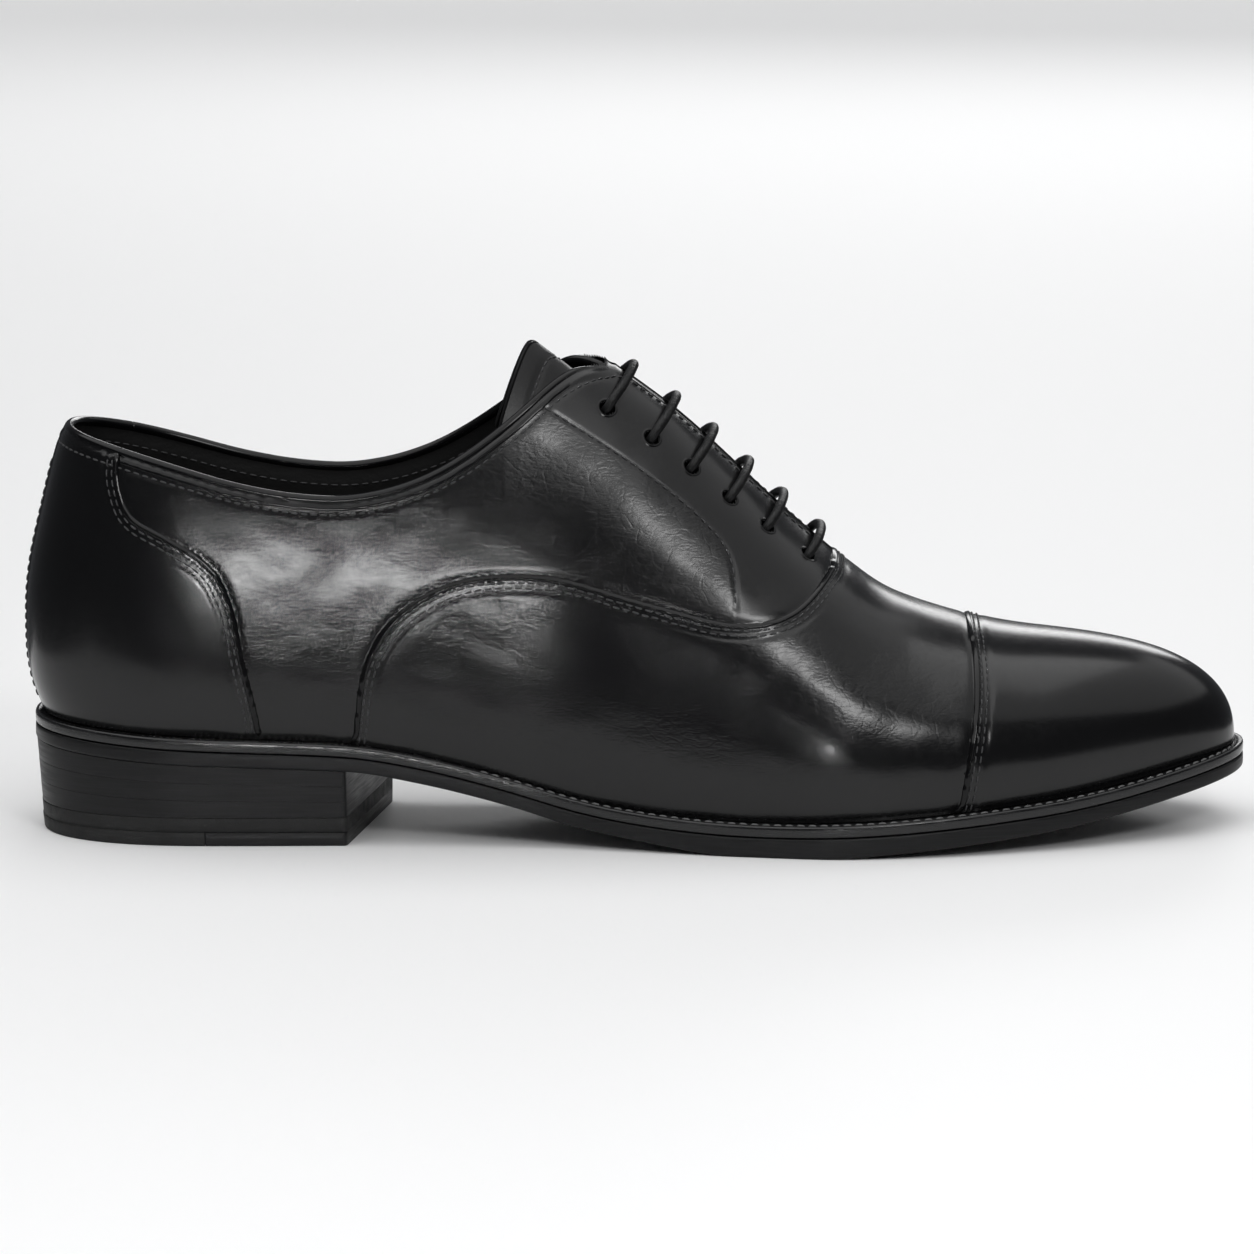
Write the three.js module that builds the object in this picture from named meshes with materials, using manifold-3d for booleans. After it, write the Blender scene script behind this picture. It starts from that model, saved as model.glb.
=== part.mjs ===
// Right oxford shoe with a toe cap, made of stacked sole parts, a lasted upper in layers and a lace.
// X runs from heel to toe, Y to the inner (medial) side, Z up; lengths are in mm.
import * as THREE from 'three';
import Module from 'manifold-3d';

const wasm = await Module();
wasm.setup();

// ---- driving dimensions ----
const LENGTH = 307; // outsole from heel to toe
const BALL_WIDTH = 100; // outsole at its widest
const UPPER_HEIGHT = 94; // tongue tip above the welt
const LEATHER = 1.4; // outer leather
const STIFFENER = 1.2; // toe puff, heel counter, facing stays and seam underlaps
const LINING = 0.9;
const TONGUE = 1.2;
const LACE = 2.4; // diameter of the round lace
const BINDING = 2.6; // diameter of the rolled collar edge
const WELT = 2.8; // thickness of the welt
const WELT_WIDTH = 9; // width of the welt strip, seen and hidden parts together
const INSOLE = 2.5;
const SOCK = 0.8;
const TOP_PIECE = 7.2; // rubber under the heel
const TIP_INSERT = 3.5; // leather insert in the front of the top piece
const HEEL_LIFTS = 3;
const EYELET_PLAY = 0.7; // lace to the edge of a punched hole
const EYELET_BAND = 1.2; // width of a hidden eyelet washer's ring
const GAP = 0.3; // between neighbouring pieces
const TONGUE_PLAY = 0.35; // lace to tongue and lace to lining
const EYELET_HOLE = LACE + 2 * EYELET_PLAY; // diameter of a punched hole
const EYELET_RING = EYELET_HOLE + 2 * EYELET_BAND; // outer diameter of a washer

// ---- the sizes that the curves below are drawn at ----
const DRAWN = { length: 307, width: 100, height: 94 };
const kx = LENGTH / DRAWN.length;
const ky = BALL_WIDTH / DRAWN.width;
const kz = UPPER_HEIGHT / DRAWN.height;

// A smooth curve through points that never overshoots them, flat beyond its ends.
function curve(points, scaleX = kx, scaleY = 1) {
  const xs = points.map((p) => p[0] * scaleX);
  const ys = points.map((p) => p[1] * scaleY);
  const last = xs.length - 1;
  const rise = xs.slice(1).map((x, i) => (ys[i + 1] - ys[i]) / (x - xs[i]));
  const slope = xs.map((x, i) => {
    if (i === 0) return rise[0];
    if (i === last) return rise[last - 1];
    const [a, b] = [rise[i - 1], rise[i]];
    return a * b <= 0 ? 0 : (2 * a * b) / (a + b);
  });
  return (x) => {
    if (x <= xs[0]) return ys[0];
    if (x >= xs[last]) return ys[last];
    let i = 0;
    while (x > xs[i + 1]) i += 1;
    const w = xs[i + 1] - xs[i];
    const t = (x - xs[i]) / w;
    const a = ys[i] + t * (ys[i + 1] - ys[i]);
    const bend = (slope[i] * w - (ys[i + 1] - ys[i])) * (1 - t);
    const back = (ys[i + 1] - ys[i] - slope[i + 1] * w) * t;
    return a + t * (1 - t) * (bend + back);
  };
}

// ---- sole profiles along X ----
const weltTop = curve([
  [-151.7, 29.7], [-116, 27.4], [-72, 25.6], [-54, 22.7], [-32.6, 17.4], [-15, 12.3], [3, 9.5],
  [20.7, 8.1], [32, 7.9], [60.4, 8.7], [81.7, 10.1], [103, 11.9], [120, 14.2], [139, 17.9],
  [148.4, 19.8], [153.5, 20.8],
]);
const soleBottom = curve([
  [-151.7, 23.2], [-116, 20.9], [-72, 19.1], [-54, 16.1], [-32.6, 10.9], [-15, 5.7], [3, 2.5],
  [14, 0.8], [22, 0], [46, 0], [60.4, 0.9], [81.7, 2.6], [103, 4.9], [120, 7.6], [139, 11.4],
  [148.4, 13.4], [153.5, 14.6],
]);
const axis = curve([[-33, 0], [51, 2.5], [153.5, 5]], kx, ky);
const soleWidth = {
  [-1]: curve([
    [-153.5, 34], [-100, 34], [-68, 33.5], [-28, 35.3], [6, 43], [36, 50], [51.5, 52.5],
    [76.5, 49.8], [101.5, 42.6], [126.5, 34.9], [143.5, 31.4], [153.5, 30],
  ], kx, ky),
  [1]: curve([
    [-153.5, 33], [-110, 33], [-68, 30.5], [-28, 26.5], [-3, 27.8], [26.5, 37], [51.5, 45],
    [66.5, 47], [86.5, 45.3], [106.5, 39.6], [126.5, 34.4], [143.5, 31.4], [153.5, 30],
  ], kx, ky),
};
const HEEL_END = -151.7 * kx;
const TOE_END = 153.5 * kx;
const HEEL_WRAP = 45 * kx; // length over which the outline closes round the heel
const TOE_WRAP = 55 * kx;
const TOE_RISE = 60 * kx; // length over which the toe box rises to its full height
const TOE_FULLNESS = 2.5; // power of that rise: a higher one is a blunter toe

// 0 at a rounded end and 1 past it: a superellipse of the given power.
const round = (t, power) => {
  if (t <= 0) return 0;
  return t >= 1 ? 1 : (1 - (1 - t) ** power) ** (1 / power);
};

// Y of the sole's edge at x, on side -1 (outer, lateral) or 1 (inner, medial), moved in by inset.
function soleEdge(x, side, inset) {
  const heel = round((x - HEEL_END - inset) / HEEL_WRAP, 2.3);
  const toe = round((TOE_END - inset - x) / TOE_WRAP, 2.3);
  return axis(x) + side * (soleWidth[side](x) - inset) * heel * toe;
}

// ---- the upper's outer surface ----
const UPPER_HEEL = -153.5 * kx;
const UPPER_TOE = 151.2 * kx;
const featherInset = {
  [-1]: curve([[-153.5, 4.3], [-90, 3.6], [-30, 3], [20, 4.2], [60, 4.6], [151, 4.6]]),
  [1]: curve([[-153.5, 4], [-90, 3], [-30, 2], [0, 2.4], [40, 4.2], [70, 4.6], [151, 4.6]]),
};
const overhang = {
  [-1]: curve([[-153.5, 2], [-100, 2.4], [-50, 2], [20, 1.5], [151, 1]], kx, ky),
  [1]: curve([[-153.5, 2], [-100, 2.6], [-28, 7], [0, 7.5], [30, 4.5], [60, 1.8], [151, 1]], kx, ky),
};
const ridgeHeight = curve([
  [-153.5, 111], [-110, 117.7], [-50, 121.2], [-35, 119.4], [-23, 115.4], [-12.4, 109.9],
  [1.9, 101.4], [9, 96.9], [16, 91.3], [23.2, 84.8], [37.4, 71.4], [49.4, 60.7], [58.9, 52.8],
  [66.5, 48.5], [76.6, 44.2], [91.8, 39.2], [104.4, 36.9], [117, 35], [129.7, 33.1], [139.8, 31.3],
  [146.1, 30], [151.2, 28.8],
], kx, kz);
const bulgeHeight = curve([
  [-153.5, 24], [-100, 22], [-60, 22], [-20, 23], [20, 18], [50, 13], [80, 10.5], [110, 9.5],
  [151, 9],
], kx, kz);
const sectionPower = curve([
  [-153.5, 1.3], [-110, 1.25], [-75, 1.2], [-40, 1.2], [-23, 1.1], [-7, 1], [60, 1], [100, 0.94],
]);
// How far the back of the heel leans forward at height z.
const backShift = curve([
  [29.7, 4.3], [36.4, 1.5], [46.7, 0], [57, 0], [67.2, 1], [80, 3.8], [95.5, 7.6], [103.2, 10.1],
  [140, 17],
], 1, kx);
const BACK_FADE = 70 * kx;
const BULGE_AT = 0.24; // share of a section's parameter that lies below its widest point

function shiftAt(x, z) {
  const left = Math.max(0, 1 - (x - UPPER_HEEL) / BACK_FADE);
  return backShift(z) * left * left;
}

// A point of the outer surface: station x, side, and v from the welt (0) to the ridge (1).
function upperPoint(x, side, v) {
  const heel = round((x - UPPER_HEEL) / HEEL_WRAP, 2.4);
  const toe = round((UPPER_TOE - x) / TOE_WRAP, 2.3);
  const toeHeight = round((UPPER_TOE - x) / TOE_RISE, TOE_FULLNESS);
  const foot = soleWidth[side](x) - featherInset[side](x);
  const wide = foot + overhang[side](x);
  const bottom = weltTop(x) + GAP;
  const bulge = bottom + bulgeHeight(x) * toeHeight;
  const top = bottom + ridgeHeight(x) * toeHeight;
  let half;
  let z;
  if (v < BULGE_AT) {
    const t = 1 - v / BULGE_AT;
    half = wide - (wide - foot) * t * t;
    z = bulge - (bulge - bottom) * t;
  } else {
    const a = ((v - BULGE_AT) / (1 - BULGE_AT)) * (Math.PI / 2);
    half = wide * Math.max(0, Math.cos(a)) ** sectionPower(x);
    z = bulge + (top - bulge) * Math.sin(a);
  }
  return new THREE.Vector3(x + shiftAt(x, z), axis(x) + side * half * heel * toe, z);
}

const ridgeZ = (x) => upperPoint(x, 1, 1).z;
function ridgeNormal(x) {
  const slope = (ridgeZ(x + 1) - ridgeZ(x - 1)) / 2;
  return new THREE.Vector3(-slope, 0, 1).normalize();
}

// ---- solids ----
function manifold(vertices, triangles) {
  const vertProperties = new Float32Array(vertices);
  const triVerts = new Uint32Array(triangles);
  return new wasm.Manifold(new wasm.Mesh({ numProp: 3, vertProperties, triVerts }));
}

function solid(geometry) {
  const flat = geometry.index ? geometry.toNonIndexed() : geometry;
  const position = flat.attributes.position;
  const known = new Map();
  const vertices = [];
  const triangles = [];
  for (let i = 0; i < position.count; i += 3) {
    const corners = [0, 1, 2].map((k) => {
      const p = [position.getX(i + k), position.getY(i + k), position.getZ(i + k)];
      const key = p.map((c) => Math.round(c * 1e4)).join();
      if (!known.has(key)) {
        known.set(key, vertices.length / 3);
        vertices.push(...p);
      }
      return known.get(key);
    });
    if (new Set(corners).size === 3) triangles.push(...corners);
  }
  return manifold(vertices, triangles);
}

// A polygon of side-view points [x, z], carried across the shoe from y0 to y1.
function across(points, y0, y1) {
  const shape = new THREE.Shape(points.map((p) => new THREE.Vector2(p[0], p[1])));
  const geometry = new THREE.ExtrudeGeometry(shape, { depth: y1 - y0, bevelEnabled: false });
  geometry.rotateX(Math.PI / 2);
  geometry.translate(0, y1, 0);
  return solid(geometry);
}

// A polygon of plan points [x, y], carried up from z0 to z1.
function upright(points, z0, z1) {
  const shape = new THREE.Shape(points.map((p) => new THREE.Vector2(p[0], p[1])));
  const geometry = new THREE.ExtrudeGeometry(shape, { depth: z1 - z0, bevelEnabled: false });
  geometry.translate(0, 0, z0);
  return solid(geometry);
}

// The curve as it is sampled by its own points, so that a step ends at each of them.
class Route extends THREE.CatmullRomCurve3 {
  constructor(points) {
    super(points, false, 'centripetal');
  }

  getPointAt(t, target) {
    return this.getPoint(t, target);
  }

  getTangentAt(t, target) {
    return this.getTangent(t, target);
  }

  getSpacedPoints(steps) {
    return this.getPoints(steps);
  }
}

function cordAlong(points, diameter, sides, stepsPerPoint = 1) {
  const ring = [...Array(sides).keys()].map((k) => {
    const a = ((k + 0.5) / sides) * Math.PI * 2;
    return new THREE.Vector2((Math.cos(a) * diameter) / 2, (Math.sin(a) * diameter) / 2);
  });
  const steps = (points.length - 1) * stepsPerPoint;
  const settings = { steps, bevelEnabled: false, extrudePath: new Route(points) };
  return solid(new THREE.ExtrudeGeometry(new THREE.Shape(ring), settings));
}

// ---- the upper's surface as a grid of faces, and layers at depths below it ----
const stations = [];
for (let k = 0; k < 7; k += 1) {
  stations.push(UPPER_HEEL + HEEL_WRAP * (1 - Math.cos((k / 7) * (Math.PI / 2))));
}
const straight = UPPER_TOE - TOE_WRAP - (UPPER_HEEL + HEEL_WRAP);
for (let k = 0; k < 16; k += 1) stations.push(UPPER_HEEL + HEEL_WRAP + (straight * k) / 16);
for (let k = 0; k <= 7; k += 1) {
  stations.push(UPPER_TOE - TOE_WRAP * (1 - Math.sin((k / 7) * (Math.PI / 2))));
}
const ROWS = [0, 0.12, 0.24, 0.36, 0.48, 0.6, 0.72, 0.86, 1];
const AROUND = 2 * (ROWS.length - 1);
const END = stations.length - 1;

function gridIndex(i, j) {
  if (i === END) return END * (AROUND + 1);
  if (i === 0 && j > AROUND / 2) return AROUND - j;
  return i * (AROUND + 1) + j;
}

const gridPoints = [];
for (let i = 0; i < END; i += 1) {
  for (let j = 0; j <= AROUND; j += 1) {
    const side = j <= AROUND / 2 ? -1 : 1;
    const v = ROWS[side < 0 ? j : AROUND - j];
    gridPoints.push(upperPoint(stations[i], side, v));
  }
}
gridPoints.push(upperPoint(UPPER_TOE, 1, 0));

const gridFaces = [];
function addFace(face) {
  if (new Set(face).size === 3) gridFaces.push(face);
}
for (let i = 0; i < END; i += 1) {
  for (let j = 0; j < AROUND; j += 1) {
    const [a, b] = [gridIndex(i, j), gridIndex(i + 1, j)];
    const [c, d] = [gridIndex(i + 1, j + 1), gridIndex(i, j + 1)];
    addFace([a, b, c]);
    addFace([a, c, d]);
  }
}

const gridNormals = gridPoints.map(() => new THREE.Vector3());
gridFaces.forEach(([a, b, c]) => {
  const one = gridPoints[b].clone().sub(gridPoints[a]);
  const two = gridPoints[c].clone().sub(gridPoints[a]);
  const face = one.cross(two);
  [a, b, c].forEach((k) => gridNormals[k].add(face));
});
gridNormals.forEach((n) => n.normalize());

const directed = new Set(gridFaces.flatMap(([a, b, c]) => [`${a}_${b}`, `${b}_${c}`, `${c}_${a}`]));
const openEdges = gridFaces.flatMap(([a, b, c]) => [[a, b], [b, c], [c, a]])
  .filter(([a, b]) => !directed.has(`${b}_${a}`));

const sunk = (depth) => gridPoints.map((p, k) => p.clone().addScaledVector(gridNormals[k], -depth));

// A point that is depth below the surface's faces where they are seen from the side at (x, z).
function under(x, z, side, depth) {
  let best = null;
  gridFaces.forEach((face) => {
    const [a, b, c] = face.map((k) => gridPoints[k]);
    const middle = (a.x + b.x + c.x) / 3;
    if (side * ((a.y + b.y + c.y) / 3 - axis(middle)) < 0) return;
    const area = (b.x - a.x) * (c.z - a.z) - (c.x - a.x) * (b.z - a.z);
    if (Math.abs(area) < 1e-6) return;
    const s = ((x - a.x) * (c.z - a.z) - (c.x - a.x) * (z - a.z)) / area;
    const t = ((b.x - a.x) * (z - a.z) - (x - a.x) * (b.z - a.z)) / area;
    const weights = [1 - s - t, s, t];
    const miss = -Math.min(...weights);
    if (!best || miss < best.miss) best = { miss, face, weights };
  });
  const place = new THREE.Vector3();
  const weights = best.weights.map((w) => Math.max(0, w));
  const sum = weights[0] + weights[1] + weights[2];
  best.face.forEach((k, i) => {
    place.addScaledVector(gridPoints[k], weights[i] / sum);
    place.addScaledVector(gridNormals[k], (-depth * weights[i]) / sum);
  });
  return place;
}

// The skin between two depths below the outer surface, over the whole last.
function layer(depth0, depth1) {
  const n = gridPoints.length;
  const vertices = [...sunk(depth0), ...sunk(depth1)].flatMap((p) => p.toArray());
  const triangles = gridFaces.flatMap(([a, b, c]) => [a, b, c, n + a, n + c, n + b]);
  openEdges.forEach(([a, b]) => triangles.push(b, a, n + a, b, n + a, n + b));
  return manifold(vertices, triangles);
}

// Everything inside the surface at one depth, carried down past the welt.
function inside(depth, skirt) {
  const n = gridPoints.length;
  const top = sunk(depth);
  const low = top.map((p) => new THREE.Vector3(p.x, p.y, p.z - skirt));
  const triangles = gridFaces.flat();
  openEdges.forEach(([a, b]) => triangles.push(b, a, n + a, b, n + a, n + b));
  for (let i = 0; i < END; i += 1) {
    const [a, b] = [gridIndex(i, 0), gridIndex(i, AROUND)];
    const [c, d] = [gridIndex(i + 1, AROUND), gridIndex(i + 1, 0)];
    [[a, b, c], [a, c, d]].forEach((face) => {
      if (new Set(face).size === 3) triangles.push(...face.map((k) => n + k));
    });
  }
  return manifold([...top, ...low].flatMap((p) => p.toArray()), triangles);
}

const STIFF_TOP = LEATHER + GAP;
const STIFF_END = STIFF_TOP + STIFFENER;
const LINING_TOP = STIFF_END + GAP;
const LINING_END = LINING_TOP + LINING;
const LACE_DEPTH = LINING_END + TONGUE_PLAY + LACE / 2;
const TONGUE_TOP = LACE_DEPTH + LACE / 2 + TONGUE_PLAY;
const TONGUE_END = TONGUE_TOP + TONGUE;

const leather = layer(0, LEATHER);
const stiff = layer(STIFF_TOP, STIFF_END);
const riser = layer(LEATHER * 0.6, STIFF_TOP + STIFFENER * 0.4);
const liner = layer(LINING_TOP, LINING_END);

// ---- seams, drawn in the side view as [x, z] ----
const seat = (x, z) => [x * kx, weltTop(x * kx) + (z - weltTop(x * kx)) * kz];
function seam(points, pieces) {
  const line = new THREE.SplineCurve(points.map(([x, z]) => new THREE.Vector2(...seat(x, z))));
  return line.getPoints(pieces).map((p) => [p.x, p.y]);
}

const vampSeam = seam([
  [-71.5, 12], [-70.1, 27.2], [-67.3, 45.8], [-58.8, 58.6], [-43.2, 66.8], [-21.9, 67.7],
  [-0.6, 62.4], [23.2, 56.8], [37.4, 58.4], [47.3, 65.8], [50.1, 69.8], [51.5, 80],
], 17);
const foxingSeam = seam([
  [-127.8, 112], [-128.9, 99.3], [-129.2, 91], [-126, 82.6], [-118.3, 78], [-106.6, 70.7],
  [-101.1, 60.9], [-98.5, 48], [-95.1, 33.1], [-92, 15],
], 13);
const capSeam = seam([[80, 66], [83.3, 53], [84.6, 45], [84.3, 36], [82.4, 22.2], [79, 2]], 7);
const stayLine = seam([
  [-28, 112], [-12.3, 102.5], [1.9, 93.2], [16.1, 81.9], [23.5, 71.5], [24.4, 54],
], 8);
const topLine = [
  [-143.6, 101.7], [-127.7, 97.9], [-113.5, 93.9], [-99.2, 89.9], [-85, 87.4], [-74.4, 86.7],
  [-63.8, 88.1], [-53.1, 91.5], [-44.8, 95.8], [-30.1, 106.4], [-22.9, 112.5], [-18, 116.2],
  [-12.3, 118.4], [-8, 118.2],
];
const INNER_RISE = 0.2; // the inner collar is this much higher along its middle
const rise = (x, side) => (side > 0 ? INNER_RISE * round((x + 143.6) / 40, 2) : 0);
const topLineAt = {
  [-1]: topLine.map(([x, z]) => seat(x, z)),
  [1]: topLine.map(([x, z]) => seat(x, z + rise(x, 1) * (x < -20 ? 1 : 0.3))),
};

// The line moved to its left by d, seen in its own direction.
function beside(line, d) {
  return line.map(([x, z], i) => {
    const [a, b] = [line[Math.max(0, i - 1)], line[Math.min(line.length - 1, i + 1)]];
    const size = Math.hypot(b[0] - a[0], b[1] - a[1]);
    return [x - ((b[1] - a[1]) / size) * d, z + ((b[0] - a[0]) / size) * d];
  });
}

const FAR = 90; // past the widest point of anything
const LOW = -20;
const HIGH = 190;
const UNDERLAP = 8;
const LIP = 1.2; // width over which a panel steps down into its underlap
const halfGap = GAP / 2;
const band = (line, d0, d1) => [...beside(line, d0), ...beside(line, d1).reverse()];

// ---- collar binding, which the panels stop short of ----
const BEAD_DEPTH = BINDING / 2 + 0.2;
const FACING_HALF = 0.2 + BINDING / 2; // bead centre from the middle of the closed facings
const beadClear = BINDING + 2 * GAP + 0.2;
const facingStations = [-3, 3, 13, 24, 35, 47].map((x) => x * kx);

function facingBead(side) {
  return facingStations.map((x) => {
    const p = new THREE.Vector3(x, axis(x) + side * FACING_HALF, ridgeZ(x));
    return p.addScaledVector(ridgeNormal(x), -BEAD_DEPTH);
  });
}
const splitAt = -128.4 * kx;
const collarPoints = (side) => topLineAt[side].map(([x, z]) => under(x, z, side, BEAD_DEPTH));
const sidePath = (side) => {
  const [x, z] = [splitAt + GAP, seat(-128.4, 98.1)[1]];
  const collar = collarPoints(side).slice(2, -1);
  return [under(x, z, side, BEAD_DEPTH), ...collar, ...facingBead(side)];
};
const backTop = new THREE.Vector3(UPPER_HEEL + backShift(102) + BEAD_DEPTH, 0, seat(-143, 102)[1]);
const rearHalf = (side) => [
  under(splitAt - GAP, seat(-128.4, 98.1)[1], side, BEAD_DEPTH),
  under(-134.5 * kx, seat(-134.5, 99.7)[1], side, BEAD_DEPTH),
  under(-139.5 * kx, seat(-139.5, 101)[1], side, BEAD_DEPTH),
  under(-142.3 * kx, seat(-142.3, 101.7)[1], side, BEAD_DEPTH),
];
const rearPath = [...rearHalf(-1), backTop, ...rearHalf(1).reverse()];
const SIDES = [-1, 1];
const word = { [-1]: 'lateral', [1]: 'medial' };

const groove = SIDES.map((side) => cordAlong(sidePath(side), beadClear, 8))
  .reduce((a, b) => a.add(b))
  .add(cordAlong(rearPath, beadClear, 8));

// ---- eyelets and lace ----
const eyelets = [
  [42.9, 71.2], [32.5, 78.6], [23.1, 86], [13.6, 93.6], [3.7, 100.9], [-7.4, 108.3],
].map(([x, z]) => seat(x, z));
const up = new THREE.Vector2(0.62, 0.78); // from an eyelet to the ridge, seen from the side
const along = new THREE.Vector2(0.78, -0.62);

// From an eyelet, moved off along the lacing and outward, at a depth.
function near(k, side, forward, outward, depth) {
  const [x, z] = eyelets[k];
  const dx = along.x * forward - up.x * outward;
  const dz = along.y * forward - up.y * outward;
  return under(x + dx, z + dz, side, depth);
}

function ridgeAcross(k) {
  let reach = 0;
  while (eyelets[k][1] + up.y * reach < ridgeZ(eyelets[k][0] + up.x * reach)) reach += 0.02;
  return reach;
}

const BAR_RISE = LACE / 2 + 0.35;
function bar(k, from) {
  const reach = ridgeAcross(k);
  const top = eyelets[k][0] + up.x * reach;
  const summit = new THREE.Vector3(top, axis(top), ridgeZ(top));
  summit.addScaledVector(ridgeNormal(top), BAR_RISE + 1.2);
  const half = (side) => [
    near(k, side, 0, 0.2, 0.2),
    near(k, side, 0, -0.14 * reach, -BAR_RISE),
    near(k, side, 0, -0.55 * reach, -BAR_RISE - 0.9),
  ];
  return [...half(from), summit, ...half(-from).reverse()];
}

// Below an eyelet, turned the way that the lace leaves it: 1 to the toe, -1 to the heel.
const drop = (k, side, way, outward) => [
  near(k, side, 0, 0.1, STIFF_END),
  near(k, side, way * 1.6, outward * 0.4, LACE_DEPTH - 0.35),
];
const DODGE = 2.8;
const pass = (k, side, outward) => near(k, side, 0, outward, LACE_DEPTH);
const tailB = [[5, 2.2], [12, 5.4], [20, 5.8], [28, 6], [35, 6.2]];
const tailA = [[4, 3.4], [9, 7], [17, 8.7], [27, 8.8], [38, 9], [49, 9.2]];
const tail = (k, places) => places.map(([forward, out]) => near(k, 1, forward, out, LACE_DEPTH));
const lacePath = [
  ...tail(5, tailA).reverse(),
  ...drop(5, 1, 1, 2).reverse(),
  ...bar(5, 1),
  ...drop(5, -1, 1, -1),
  pass(4, -1, -DODGE),
  ...drop(3, -1, -1, -1).reverse(),
  ...bar(3, -1),
  ...drop(3, 1, 1, -1),
  pass(2, 1, -DODGE),
  ...drop(1, 1, -1, -1).reverse(),
  ...bar(1, 1),
  ...drop(1, -1, 1, 0),
  ...drop(0, -1, -1, 0).reverse(),
  ...bar(0, -1),
  ...drop(0, 1, -1, 1),
  pass(1, 1, DODGE),
  ...drop(2, 1, 1, 1).reverse(),
  ...bar(2, 1),
  ...drop(2, -1, -1, 1),
  pass(3, -1, DODGE),
  ...drop(4, -1, 1, 1).reverse(),
  ...bar(4, -1),
  ...drop(4, 1, 1, 2),
  ...tail(4, tailB),
];
const laceSolid = cordAlong(lacePath, LACE, 8);
const laceClear = cordAlong(lacePath, LACE + 2 * GAP + 0.2, 8);

// A round bar or ring whose axis stands on the upper at an eyelet.
function standing(geometry, k, side, depth) {
  const middle = under(...eyelets[k], side, depth);
  const normal = under(...eyelets[k], side, 0).sub(under(...eyelets[k], side, 1));
  const turn = new THREE.Quaternion().setFromUnitVectors(new THREE.Vector3(0, 1, 0), normal);
  geometry.applyQuaternion(turn);
  geometry.translate(middle.x, middle.y, middle.z);
  return solid(geometry);
}
const pin = (k, side, diameter, depth0, depth1) => {
  const geometry = new THREE.CylinderGeometry(diameter / 2, diameter / 2, depth1 - depth0, 8);
  return standing(geometry, k, side, (depth0 + depth1) / 2);
};
const holes = (side, diameter, depth0, depth1) => eyelets
  .map((place, k) => pin(k, side, diameter, depth0, depth1))
  .reduce((a, b) => a.add(b));

// ---- panels of the upper ----
const quarterLine = (side, d) => [...topLineAt[side].slice(0, -1), [-4 * kx, seat(-4, 112.2)[1]]]
  .map(([x, z]) => [x, z - d]);
const quarterArea = (side, inset, below) => [
  ...beside(vampSeam, inset),
  [50 * kx, HIGH],
  [2 * kx, HIGH],
  ...quarterLine(side, below).reverse().slice(0, -2),
  [-128.9 * kx + inset, seat(-128.9, 98.2)[1] - below],
  ...beside(foxingSeam, inset).filter(([, z]) => z < seat(-129, 97.2)[1]),
];
const foxingArea = [
  [-200 * kx, LOW],
  ...beside(foxingSeam, -halfGap).reverse().filter(([, z]) => z < seat(-128, 97.7)[1]),
  [-128.9 * kx, seat(-128.9, 98.1)[1]],
  seat(-134.5, 99.7),
  seat(-139.5, 101),
  seat(-144, 101.9),
  [-200 * kx, seat(-143, 101.9)[1]],
];
const vampArea = [
  [-72 * kx, LOW],
  ...beside(vampSeam, -halfGap),
  [52 * kx, HIGH],
  [80 * kx, HIGH],
  ...beside(capSeam, -halfGap),
  [79 * kx, LOW],
];
const capArea = [...beside(capSeam, halfGap), [200 * kx, LOW], [200 * kx, HIGH]];

// The part of a layer that belongs to one side, clear of the meeting facings.
const FACING_CLEAR = FACING_HALF + BINDING / 2 + GAP;
function sideCut(points, side) {
  const edge = axis(10 * kx) + side * FACING_CLEAR;
  return side < 0 ? across(points, -FAR, edge) : across(points, edge, FAR);
}

function quarter(side) {
  const area = sideCut(quarterArea(side, halfGap, 0.9), side);
  const edge = (line, d0, d1) => sideCut(band(line, d0, d1), side);
  const kept = (part) => part.intersect(sideCut(quarterArea(side, -UNDERLAP, 3), side));
  return leather.intersect(area)
    .add(kept(riser.intersect(edge(vampSeam, LIP, halfGap))))
    .add(kept(stiff.intersect(edge(vampSeam, LIP, -UNDERLAP))))
    .subtract(groove)
    .subtract(holes(side, EYELET_HOLE, -3, LEATHER + 1));
}

const vampPanel = leather.intersect(across(vampArea, -FAR, FAR)).subtract(groove);
const capPanel = leather.intersect(across(capArea, -FAR, FAR));
const foxing = leather.intersect(across(foxingArea, -FAR, FAR)).subtract(groove);

// The toe puff and the heel counter reach past the seams above them, and so carry both panels.
const puffArea = [...beside(capSeam, -UNDERLAP), [200 * kx, LOW], [200 * kx, HIGH]];
const toePuff = stiff.intersect(across(puffArea, -FAR, FAR));
const COUNTER_TOP = 78;
const counterArea = [
  [-200 * kx, LOW],
  ...beside(foxingSeam, UNDERLAP).reverse().filter(([, z]) => z < seat(-110, COUNTER_TOP)[1]),
  [-200 * kx, seat(-110, COUNTER_TOP)[1]],
];
const counter = stiff.intersect(across(counterArea, -FAR, FAR));

function stay(side) {
  const area = [...stayLine, [51 * kx, 50], [51 * kx, HIGH], [0, HIGH],
    ...quarterLine(side, 0).slice(-4).reverse()];
  return stiff.intersect(sideCut(area, side))
    .subtract(across(band(vampSeam, LIP + GAP, -UNDERLAP - GAP), -FAR, FAR))
    .intersect(sideCut(quarterArea(side, LIP + GAP, 2.8), side))
    .subtract(groove)
    .subtract(holes(side, EYELET_RING + 2 * GAP, 0, 6));
}

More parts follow.
